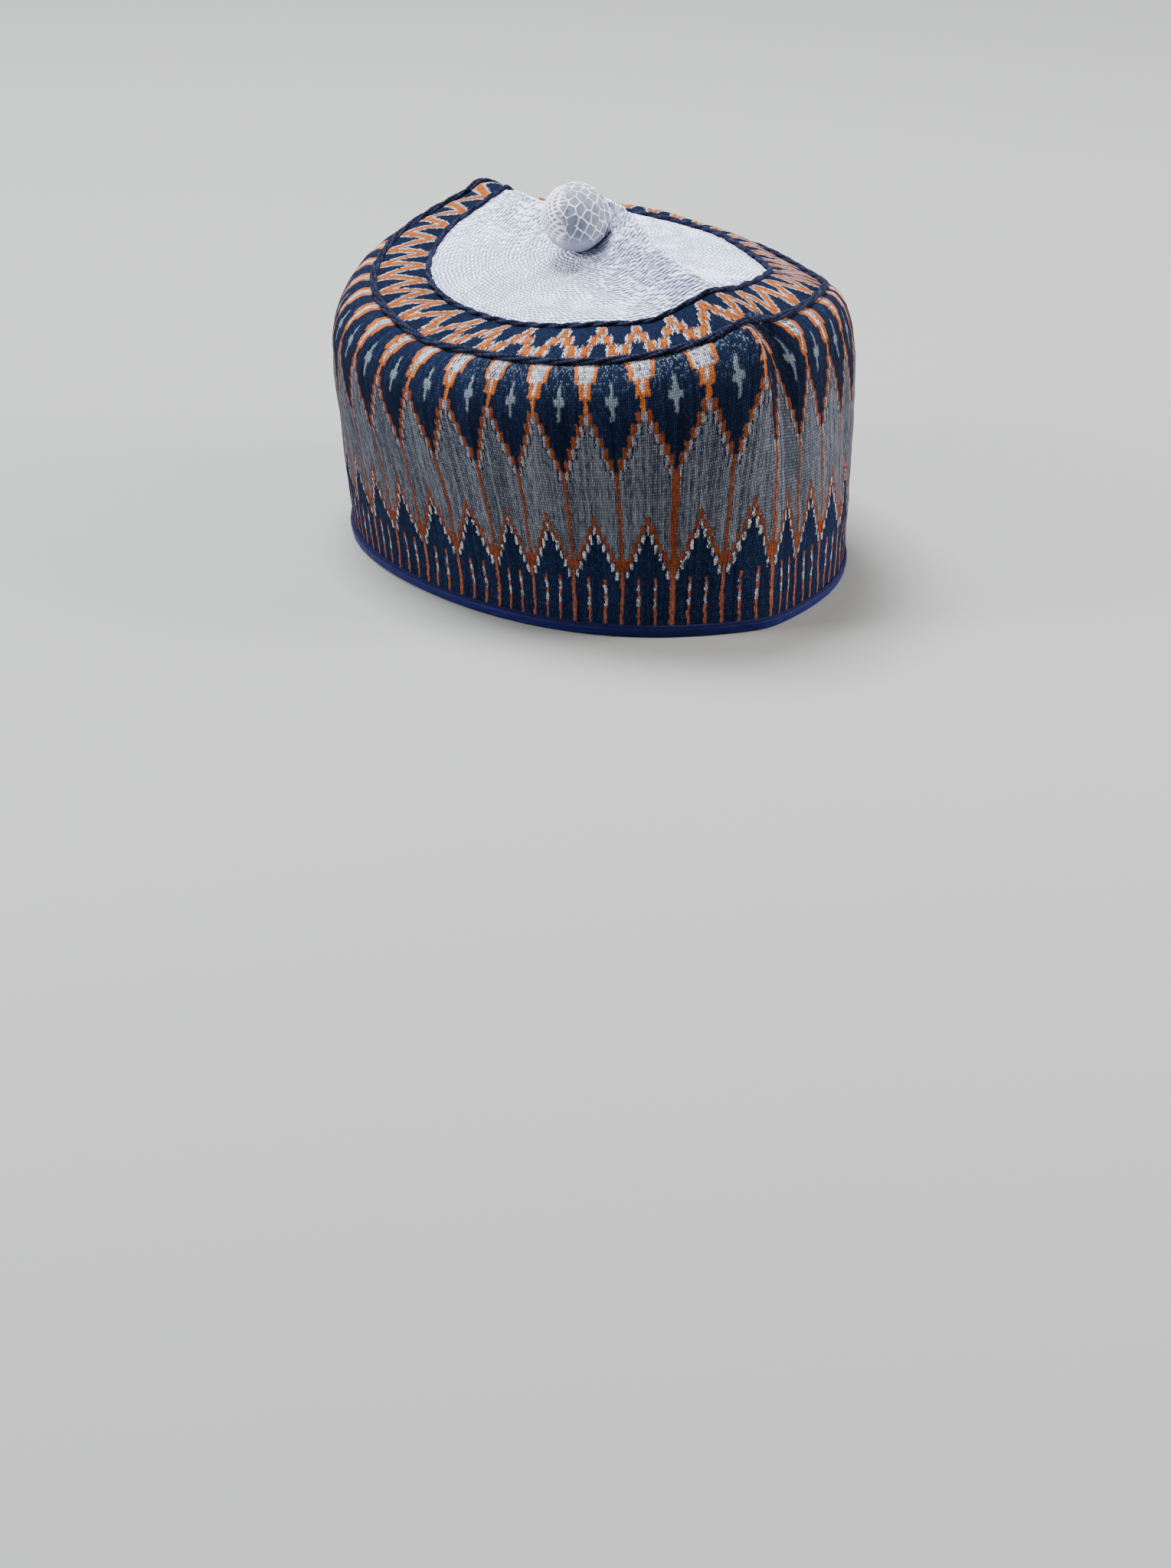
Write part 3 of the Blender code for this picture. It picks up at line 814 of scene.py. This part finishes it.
def twisted_cord(route, strands, turns, strand_radius, lay_radius):
    """Strands wound about a closed route: each keeps lay_radius off it and turns evenly round it."""
    ahead = np.roll(route, -1, axis=0) - np.roll(route, 1, axis=0)
    ahead /= np.linalg.norm(ahead, axis=1, keepdims=True)
    side = np.cross(ahead, np.array([0.0, 0.0, 1.0]))
    side /= np.linalg.norm(side, axis=1, keepdims=True)
    up = np.cross(side, ahead)
    step = np.linalg.norm(np.roll(route, -1, axis=0) - route, axis=1)
    along = np.concatenate([[0], np.cumsum(step)[:-1]])
    whole = step.sum()
    uneven = 0.35 * wander(route, 31.0, 21)
    around = 2 * np.pi * np.arange(STRAND_SIDES) / STRAND_SIDES
    meshes = []
    for strand in range(strands):
        turn = 2 * np.pi * (turns * along / whole + strand / strands) + uneven
        swell = 1.0 + 0.07 * np.sin(along * 1.7 + strand * 2.0)
        swell = swell + 0.05 * wander(route, 5.0, strand)
        middle = route + lay_radius * (
            np.cos(turn)[:, None] * side + FLATTEN * np.sin(turn)[:, None] * up
        )
        thick = strand_radius * swell
        ring = middle[None] + thick[None, :, None] * (
            np.cos(around)[:, None, None] * side[None] + np.sin(around)[:, None, None] * up[None]
        )
        meshes.append(ring)
    rows = np.stack(meshes)
    v = around[:, None] / (2 * np.pi) + np.arange(strands)[:, None, None]
    return rows, side_by_side(along, v), whole


def cord_mesh(name, rows, uv, whole):
    """One mesh of all the strands, each a tube that closes round its section and its length."""
    strands, sides, stations = rows.shape[:3]
    index = np.arange(strands * sides * stations).reshape(strands, sides, stations)
    beside = np.roll(index, -1, axis=2)
    above, corner = np.roll(index, -1, axis=1), np.roll(beside, -1, axis=1)
    quads = side_by_side(above, corner, beside, index)
    corners = uv.reshape(-1, 2)[quads]
    corners[:, :, -1, 1:3, 0] += whole
    corners[:, -1, :, 0:2, 1] += 1.0
    return mesh_of(name, rows.reshape(-1, 3), quads.reshape(-1, 4).tolist(), corners)


def make_cord(name, node, look_name, seam_t, strands, turns, strand_radius, lay_radius):
    """A twisted cord laid along one of the ring's two seams."""
    route = ring_line(np.linspace(-180, 180, CORD_STATIONS, endpoint=False), seam_t) + SHIFT
    rows, uv, whole = twisted_cord(route, strands, turns, strand_radius, lay_radius)
    data = cord_mesh(node, rows, uv, whole)
    return place(name, data, cord_look(look_name), "dark_cord", node)


make_cord(
    "twisted_shoulder_cord",
    "shoulder_cord",
    "dark_twisted_wool",
    seam_t=0.0,
    strands=3,
    turns=SHOULDER_TURNS,
    strand_radius=STRAND_RADIUS,
    lay_radius=LAY_RADIUS,
)


# Top ring: the flat patterned knitting between the two cords, in the band's wool, with one bold
# zigzag of orange blocks edged in white. It arches a little and its edges tuck under the cords.
RING_OUTER_ROWS = 60
RING_INNER_ROWS = 10
RING_TUCK = 0.4
RING_VALLEYS = (  # repeat, how far round the rim its foot stands at the shoulder cord
    (-11, -239.5), (-10, -226.4), (-9, -213.5), (-8, -198.9), (-7, -185.1),
    (-6, -171.0), (-5, -153.0), (-4, -135.5), (-3, -113.0), (-2, -89.8),
    (-1, -69.2), (0, -52.5), (1, -37.5), (2, -21.6), (3, -5.2),
    (4, 4.6), (5, 13.5), (6, 29.4), (7, 46.1), (11, 97.0),
)
RING_PEAKS = (  # repeat, how far round the rim its peak stands at the crown cord
    (-12.5, -262.0), (-11.5, -249.0), (-10.5, -235.7), (-9.5, -222.5), (-8.5, -206.6),
    (-7.5, -191.4), (-6.5, -174.5), (-5.5, -157.0), (-4.5, -136.5), (-3.5, -115.5),
    (-2.5, -97.3), (-1.5, -76.8), (-0.5, -58.6), (0.5, -42.8), (1.5, -27.5),
    (2.5, -13.2), (3.5, -4.0), (4.5, 8.1), (5.5, 21.4), (6.5, 35.4),
    (10.5, 89.6), (11.5, 104.4), (12.5, 116.7),
)
RING_REPEATS = 39
RING_UNIT = 4.0
RING_TOP = 0.9
RING_LEVEL = 0.262
RING_CORE_HALF, RING_EDGE_HALF = 2.3, 3.8
RING_SINK = 0.55
SHADED_ORANGE = (0.04, 0.008, 0.003)
SHADED_WHITE = (0.06, 0.07, 0.11)


def ring_look():
    look, shader, u, v, spot = start_cloth("zigzag_knit", 0.85)
    width = CROWN_SEAM_INSET - SHOULDER_SEAM_INSET
    height, tone, ragged, _ = knit_stitch(u * BAND_WALES, v * (width * 1.15), spot)
    across = u * BAND_COLUMNS + (spot.noise(300.0) - 0.5) * 1.4 + (tone - 0.5) * 1.5
    up = v + (spot.noise(240.0) - 0.5) * 0.05 + (ragged - 0.5) * 0.09
    peak = HALF - abs((across / BAND_COLUMNS + 0.5).part() - 0.5) * BAND_COLUMNS
    drawn_out = abs(u + 1.2).over(4.2, 3.0)
    level = (RING_TOP - up) / RING_LEVEL
    level_here = level.whole().math("MAXIMUM", 0.0).math("MINIMUM", 3.0)
    stepped = level_here * RING_UNIT
    sloping = (level - 0.5).math("MAXIMUM", 0.0) * RING_UNIT
    fingers = (level + 0.1).math("MULTIPLY", 0.31, clamp=True) * HALF
    arm = stepped + (sloping - stepped) * 0.2
    arm = arm + (fingers - arm) * drawn_out
    off_arm = abs(peak - arm)
    block_up = level - level_here - 0.5
    inside = up.within(0.0, RING_TOP, 0.04)
    half_core = RING_CORE_HALF + drawn_out * 0.4
    half_edge = RING_EDGE_HALF + drawn_out * 0.2 - abs(block_up) * (1.6 - drawn_out * 1.4)
    orange = off_arm.under(half_core, 0.5) * inside
    white = off_arm.under(half_edge, 0.6) * up.within(-0.05, RING_TOP + 0.03, 0.04)
    # Painted shade: the navy, orange and white darken where a stitch lies low, and the orange
    # darkens toward each block's ends, where shade falls between the blocks.
    navy = (height * (0.15 + tone * tone * 0.6)).mix(NAVY_DARK, NAVY_LIGHT)
    between = 1.0 - (abs(block_up) * 2.0).math("POWER", 6.0) * (1.0 - drawn_out) * 0.7
    grain = (0.4 + height * 0.6) * (0.3 + tone * 0.7) * between
    orange_yarn = grain.mix(SHADED_ORANGE, ORANGE)
    white_yarn = (height * (0.5 + tone)).mix(SHADED_WHITE, WHITE)
    colour = white.mix(navy, white_yarn)
    colour = orange.mix(colour, orange_yarn)
    raised = orange * between + white * 0.3
    finish_cloth(shader, colour, height * 0.5 + raised * 0.6, 0.5)
    return look


def ring_repeat(t):
    """The repeat that each place of the ring lies in: from the valleys' places to the peaks'."""
    at_foot = repeats_from(RING_VALLEYS, around_rim, rim_whole, RING_REPEATS)
    at_top = repeats_from(RING_PEAKS, around_rim, rim_whole, RING_REPEATS)
    return at_foot + (at_top - at_foot) * np.clip((t - 0.12) / 0.73, 0, 1)


def make_top_ring():
    outer_levels = np.linspace(0.03, 0.97, RING_OUTER_ROWS)[:, None]
    outer = ring_line(bearings, outer_levels) + SHIFT
    outer[..., 2] -= RING_SINK
    edge = 0.09
    tuck = (1 - eased(outer_levels / edge)) + 0.2 * (1 - eased((1 - outer_levels) / edge))
    outer[..., 2] -= RING_TUCK * tuck
    normal = normals_of(outer)
    soft = 0.16 * wander(outer, 22.0, 31) + 0.1 * wander(outer, 7.0, 32)
    outer = outer + normal * soft[..., None]
    inner_levels = np.linspace(0.97, 0.03, RING_INNER_ROWS)[:, None]
    inner = ring_line(bearings, inner_levels) + SHIFT
    inner[..., 2] -= RING_SINK + KNIT
    levels = np.concatenate([outer_levels, inner_levels])
    rows = np.concatenate([outer, inner])
    uv = side_by_side(ring_repeat(levels), levels)
    data = round_mesh("top_ring", rows, uv, RING_REPEATS, close_rows=True)
    return place("zigzag_ring", data, ring_look(), "ring_knit", "top_ring")


make_top_ring()


# Crown cord: two strands of the same dark wool, thinner, over the seam between the top ring and
# the crown disc.
CROWN_TURNS = 24
THIN_STRAND_RADIUS = 0.66
THIN_LAY_RADIUS = 0.5

make_cord(
    "twisted_crown_cord",
    "crown_cord",
    "dark_twisted_wool_thin",
    seam_t=1.0,
    strands=2,
    turns=CROWN_TURNS,
    strand_radius=THIN_STRAND_RADIUS,
    lay_radius=THIN_LAY_RADIUS,
)


# Crown disc: white cotton crocheted in rounds from the middle out, 2.4 mm thick. It is larger than
# the hole that it fills, so it tents up into a crest that runs from front to back by the knob.
CROCHET = 2.4
CREST_ROWS = (  # along, aside, height
    (-78, -3.0, 113.6),
    (-62, -2.5, 114.4),
    (-50, -1.5, 115.0),
    (-38, 0.0, 116.6),
    (-28, 2.0, 119.0),
    (-18, 4.0, 121.6),
    (-5, 6.0, 124.4),
    (6, 6.5, 124.2),
    (20, 6.0, 121.0),
    (40, 4.5, 117.1),
    (70, 4.0, 115.2),
)
CREST_LEFT_WIDTH = 12.0
CREST_LEFT_WIDTH_AT_KNOB = 8.0
CREST_RIGHT_WIDTH = 9.0
CREST_SHARPNESS = 1.7
CREST_FADE = 0.2
PLEAT = 2.4
PLEAT_LEFT = 5.0
PLEAT_RIGHT = 1.1
KNOB_REACH = 18.0
PEAK_BEARING = 176.0
DISC_MIDDLE = (-4.0, -2.0)
DISC_MIDDLE_HEIGHT = 110.0
CROWN_BED = 0.9
KNOB_CENTRE = (-9.7, -0.4, 122.2)
KNOB_RADIUS = 12.3
KNOB_SEAT_GAP = 0.35
ROUNDS = 40
DISC_OUTER_ROWS = 4 * ROUNDS
DISC_INNER_ROWS = 14
DISC_STARTS = 0.014
DISC_COLUMNS = 150
# Painted shade: the cotton's dark colour lies between the rounds, and its gap colour lies along
# broken lines in the gaps between them.
COTTON_DARK, COTTON_LIGHT = (0.2, 0.225, 0.38), (0.74, 0.82, 1.0)
COTTON_GAP_SHADE = (0.14, 0.165, 0.25)
COTTON_SPECK = (0.12, 0.13, 0.16)
# The place and narrowness of the painted shade on the crest's flank.
FLANK_X, FLANK_NARROWNESS = 0.006, 62.0


def crest_lift(x, y, t):
    """A ridge along the crest rows: its height falls away to either side as a rounded bell."""
    along, aside_of, top_of = np.array(CREST_ROWS, float).T
    aside, top = smooth(y, along, aside_of), smooth(y, along, top_of)
    middle_y = DISC_MIDDLE[1]
    front_y = -(rim_radius(0.0) - CROWN_SEAM_INSET)
    back_y = rim_radius(180.0) - CROWN_SEAM_INSET
    to_front = y < middle_y
    edge_y = np.where(to_front, front_y, back_y)
    edge_height = np.where(to_front, at_seams(0.0, 2), at_seams(PEAK_BEARING, 2))
    share = np.clip((y - middle_y) / (edge_y - middle_y), 0, 1)
    base = DISC_MIDDLE_HEIGHT + (edge_height - DISC_MIDDLE_HEIGHT) * share
    at_knob = np.exp(-(((y - middle_y) / KNOB_REACH) ** 2))
    left = CREST_LEFT_WIDTH + (CREST_LEFT_WIDTH_AT_KNOB - CREST_LEFT_WIDTH) * at_knob
    width = np.where(x < aside, left, CREST_RIGHT_WIDTH)
    ridge = (top - base) * np.exp(-((np.abs(x - aside) / width) ** CREST_SHARPNESS))
    pleat = np.exp(-np.abs(x - aside) / np.where(x < aside, PLEAT_LEFT, PLEAT_RIGHT))
    ridge = ridge + PLEAT * pleat * (1 - eased((y - 4.0) / 12.0))
    return ridge * np.sin(0.5 * np.pi * np.clip(t / CREST_FADE, 0, 1))


def knob_seat(x, y):
    """The highest that the disc may reach by the knob: d^2/2r + d^4/8r^3 over its underside."""
    radius = KNOB_RADIUS + KNOB_SEAT_GAP
    off = (x - KNOB_CENTRE[0]) ** 2 + (y - KNOB_CENTRE[1]) ** 2
    return KNOB_CENTRE[2] - radius + off / (2 * radius) + off**2 / (8 * radius**3)


def disc_surface(bearing, t):
    """The disc's outer face: straight in from the seam to the middle, lifted by the crest."""
    edge = polar(bearing, rim_radius(bearing) - CROWN_SEAM_INSET, 0.0)
    x = edge[..., 0] + (DISC_MIDDLE[0] - edge[..., 0]) * t
    y = edge[..., 1] + (DISC_MIDDLE[1] - edge[..., 1]) * t
    low = at_seams(bearing, 2)
    height = low + (DISC_MIDDLE_HEIGHT - low) * t + crest_lift(x, y, t)
    height = height - CROWN_BED * (1 - eased(t / BED_REACH))
    height = np.minimum(height, knob_seat(x, y))
    return side_by_side(x, y, height)


def disc_look():
    look, shader, u, v, spot = start_cloth("white_crochet_cotton", 0.9)
    sway = spot.noise(330.0) - 0.5
    rounds = v * ROUNDS + sway * 0.5 + (spot.noise(110.0) - 0.5) * 2.2
    row = rounds.whole()
    in_round = ((ROUNDS - row) * (DISC_COLUMNS / ROUNDS) + 6.0).whole()
    column = u * in_round + row.vector(0.0).chance() + sway * 1.2
    along = column.part() - 0.5
    shift = column.whole().vector(row, 0.0).chance()
    up = rounds.part() - 0.5 + along * 0.45
    ridge = (1.0 - (abs(up) * 2.0).math("POWER", 2.0)).math("MAXIMUM", 0.0)
    ends = 1.0 - (abs(along) * 2.0).math("POWER", 4.0) * 0.8
    height = ridge * ends
    fine = (u * 900.0).vector(v * 240.0, 0.0).noise(1.0, 2.0)
    worn = spot.noise(55.0, 3.0)
    # Painted shade: the cotton is darker where a round lies low; the slow and fine noise are its own
    # tone.
    depth = height * (0.5 + shift * 0.7) + (worn - 0.5) * 0.5 + (fine - 0.5) * 0.3
    x = spot.node("ShaderNodeSeparateXYZ", {}, {0: spot})
    y = Shade(x.tree, x.socket.node.outputs[1])
    # Painted shade: darker on the crest's flank by the knob, toward the front, where shade falls
    # beside the knob.
    flank_shade = (1.0 - abs(x + FLANK_X) * FLANK_NARROWNESS).math("MAXIMUM", 0.0)
    flank_shade = flank_shade * y.under(-0.006, 0.024)
    depth = depth.math("MULTIPLY_ADD", 1.0, 0.2, clamp=True) - flank_shade * 0.3
    colour = depth.mix(COTTON_DARK, COTTON_LIGHT)
    # Painted shade: broken dark dashes in the gaps between the rounds.
    dash = abs(up).over(0.34, 0.14) * shift.over(0.4, 0.3)
    colour = (dash * 0.75).mix(colour, COTTON_GAP_SHADE)
    speck = spot.noise(240.0, 1.0).over(0.79, 0.03)
    colour = (speck * 0.55).mix(colour, COTTON_SPECK)
    finish_cloth(shader, colour, height + fine * 0.2, 0.8)
    return look


def make_crown_disc():
    levels = ((np.arange(DISC_OUTER_ROWS) + 0.5) / DISC_OUTER_ROWS)[:, None]
    levels = np.maximum(levels, DISC_STARTS)
    outer = disc_surface(bearings, levels) + SHIFT
    normal = normals_of(outer)
    rounds = levels * ROUNDS
    near_crest = np.exp(-(((outer[..., 0] - SHIFT[0] - 3.0) / 20.0) ** 2))
    ridge = (0.22 + 0.48 * near_crest) * (np.abs(np.sin(np.pi * rounds)) - 0.6)
    soft = 0.12 * wander(outer, 15.0, 41) + 0.1 * wander(outer, 6.0, 42)
    fades = eased((1 - levels) / 0.2)
    outer = outer + normal * ((ridge + soft) * fades)[..., None]
    inner_levels = np.linspace(DISC_STARTS, 0.95, DISC_INNER_ROWS)[:, None]
    inner = disc_surface(bearings, inner_levels) + SHIFT
    inner[..., 2] -= CROCHET
    rows = np.concatenate([inner[::-1], outer])
    tip = disc_surface(0.0, 1.0) + SHIFT
    tips = np.stack([tip - [0, 0, CROCHET], tip])
    uv = side_by_side(bearings / 360 + 0.5, np.concatenate([inner_levels[::-1], levels]))
    data = round_mesh("crown_disc", rows, uv, 1.0, tips=tips)
    return place("crocheted_crown", data, disc_look(), "white_crochet", "crown_disc")


make_crown_disc()


# Knob: a ball of grey felt, stuffed hard, in a net of thin white thread drawn over it and tied
# off underneath. The net's cells are small on the left and wide at the front and the right.
KNOB_AROUND = 420
KNOB_UP = 220
NET_CELLS = 150
NET_SEED = 5
MESH_PITCH = 1.55
THREAD_STANDS = 0.28
FELT_DARK, FELT_LIGHT = (0.075, 0.085, 0.125), (0.25, 0.27, 0.345)
FELT_UNDER = (0.34, 0.35, 0.4)
THREAD_WHITE = (0.74, 0.76, 0.83)
MESH_SIDE = (-0.836, 0.548, 0.0)


def net_thread(ways):
    """The net: thread lies where a place is as near to a second cell's middle as to the first."""
    rng = np.random.default_rng(NET_SEED)
    i = np.arange(NET_CELLS) + 0.5
    z = 1 - 2 * i / NET_CELLS
    turn = np.pi * (1 + 5**0.5) * i
    flat = np.sqrt(1 - z * z)
    cells = side_by_side(flat * np.cos(turn), flat * np.sin(turn), z)
    cells += rng.normal(scale=0.05, size=cells.shape)
    cells /= np.linalg.norm(cells, axis=1, keepdims=True)
    stretch = np.array([1.0, 1.0, 0.78])
    gap = np.empty(len(ways))
    for start in range(0, len(ways), 8192):
        here = ways[start : start + 8192]
        off = np.linalg.norm((here[:, None] - cells[None]) * stretch, axis=2)
        nearest = np.partition(off, 1, axis=1)[:, :2]
        gap[start : start + 8192] = nearest.max(axis=1) - nearest.min(axis=1)
    gap *= KNOB_RADIUS
    uneven = wander(ways * KNOB_RADIUS, 7.0, 52)
    wide = np.exp(-((gap / (0.3 + 0.1 * uneven)) ** 2)) * eased((uneven + 1.1) / 0.7)
    aslant = ways @ np.array([0.5, 0.6, 0.62]) * KNOB_RADIUS / MESH_PITCH
    athwart = ways @ np.array([0.45, 0.55, -0.7]) * KNOB_RADIUS / MESH_PITCH
    fine = np.maximum(np.cos(2 * np.pi * aslant), np.cos(2 * np.pi * athwart))
    share = eased((ways @ np.array(MESH_SIDE) - 0.28 + 0.12 * uneven) / 0.25)
    thread = wide * (1 - share) + np.clip(fine * 0.5 + 0.5, 0, 1) ** 2 * share
    return thread * eased((ways[:, 2] + 0.62 + 0.1 * uneven) / 0.25)


def knob_look():
    look, shader, _, v, spot = start_cloth("netted_felt", 0.92)
    tree = look.node_tree
    net = tree.nodes.new("ShaderNodeAttribute")
    net.attribute_name = "thread"
    thread = Shade(tree, net.outputs["Fac"])
    felt = spot.noise(900.0, 4.0, 0.7)
    cloud = spot.noise(200.0, 2.0)
    tone = (felt * 0.6 + cloud * 0.5).math("MULTIPLY_ADD", 2.0, -0.6, clamp=True)
    colour = tone.mix(FELT_DARK, FELT_LIGHT)
    colour = v.under(0.36, 0.14).mix(colour, FELT_UNDER)
    colour = thread.math("MULTIPLY", 1.2, clamp=True).mix(colour, THREAD_WHITE)
    finish_cloth(shader, colour, felt * 0.5, 0.3)
    return look


def make_knob():
    up = np.linspace(0, np.pi, KNOB_UP + 2)[1:-1][:, None]
    turn = (2 * np.pi * np.arange(KNOB_AROUND) / KNOB_AROUND)[None, :]
    ways = side_by_side(np.sin(up) * np.sin(turn), -np.sin(up) * np.cos(turn), -np.cos(up))
    thread = net_thread(ways.reshape(-1, 3)).reshape(ways.shape[:2])
    swell = THREAD_STANDS * thread + 0.12 * wander(ways * KNOB_RADIUS, 6.0, 51)
    radius = KNOB_RADIUS - 0.25 + swell
    centre = np.array(KNOB_CENTRE) + SHIFT
    rows = centre + radius[..., None] * ways
    tips = np.stack([centre - [0, 0, KNOB_RADIUS - 0.1], centre + [0, 0, KNOB_RADIUS - 0.1]])
    uv = side_by_side(turn / (2 * np.pi), up / np.pi)
    data = round_mesh("knob", rows, uv, 1.0, tips=tips)
    shares = data.attributes.new("thread", "FLOAT", "POINT")
    shares.data.foreach_set("value", np.concatenate([thread.ravel(), [0.0, 0.0]]))
    piece = place("netted_knob", data, knob_look(), "grey_ball", "knob")
    return piece


make_knob()


# Stage: a plain pale floor, soft studio light from above the front left, and the camera.
FLOOR_REACH = 6.0
CAMERA_PLACE = (-0.7012, -1.0618, 0.4895)
CAMERA_DOWN = 24.838
CAMERA_BEARING = -33.242
CAMERA_LENS = 85.0
FLOOR_COLOUR = (0.238, 0.238, 0.235, 1.0)
SKY_COLOUR = (0.8, 0.82, 0.85, 1.0)
SKY_STRENGTH = 0.45
LOOKED_AT = (0.0, 0.0, 0.07)


def make_floor():
    data = bpy.data.meshes.new("floor")
    r = FLOOR_REACH
    data.from_pydata([(-r, -r, 0), (r, -r, 0), (r, r, 0), (-r, r, 0)], [], [(0, 1, 2, 3)])
    look = bpy.data.materials.new("pale_floor")
    look.use_nodes = True
    shader = look.node_tree.nodes["Principled BSDF"]
    shader.inputs["Base Color"].default_value = FLOOR_COLOUR
    shader.inputs["Roughness"].default_value = 0.85
    shader.inputs["Specular IOR Level"].default_value = 0.1
    data.materials.append(look)
    floor = bpy.data.objects.new("floor", data)
    bpy.context.scene.collection.objects.link(floor)


def make_light(name, place_at, size, power, colour):
    """A square soft light that looks at the cap."""
    data = bpy.data.lights.new(name, "AREA")
    data.size = size
    data.energy = power
    data.color = colour
    light = bpy.data.objects.new(name, data)
    light.location = place_at
    towards = np.array(LOOKED_AT) - np.array(place_at)
    across = math.hypot(towards[0], towards[1])
    light.rotation_euler = (math.atan2(across, -towards[2]), 0, math.atan2(-towards[0], towards[1]))
    bpy.context.scene.collection.objects.link(light)


def make_camera():
    data = bpy.data.cameras.new("camera")
    data.lens = CAMERA_LENS
    camera = bpy.data.objects.new("camera", data)
    camera.location = CAMERA_PLACE
    camera.rotation_euler = (math.radians(90 - CAMERA_DOWN), 0, math.radians(CAMERA_BEARING))
    bpy.context.scene.collection.objects.link(camera)
    bpy.context.scene.camera = camera


make_floor()
make_light("left", (-1.34, 0.5, 0.8), 0.5, 36.0, (1.0, 0.995, 0.99))
make_light("right", (1.2, -0.9, 0.7), 0.7, 60.0, (1.0, 0.97, 0.94))
make_light("top", (0.0, 0.55, 1.65), 0.7, 112.0, (0.95, 0.975, 1.0))
make_camera()
world = bpy.data.worlds.new("studio")
world.use_nodes = True
sky = world.node_tree.nodes["Background"]
sky.inputs["Color"].default_value = SKY_COLOUR
sky.inputs["Strength"].default_value = SKY_STRENGTH
bpy.context.scene.world = world
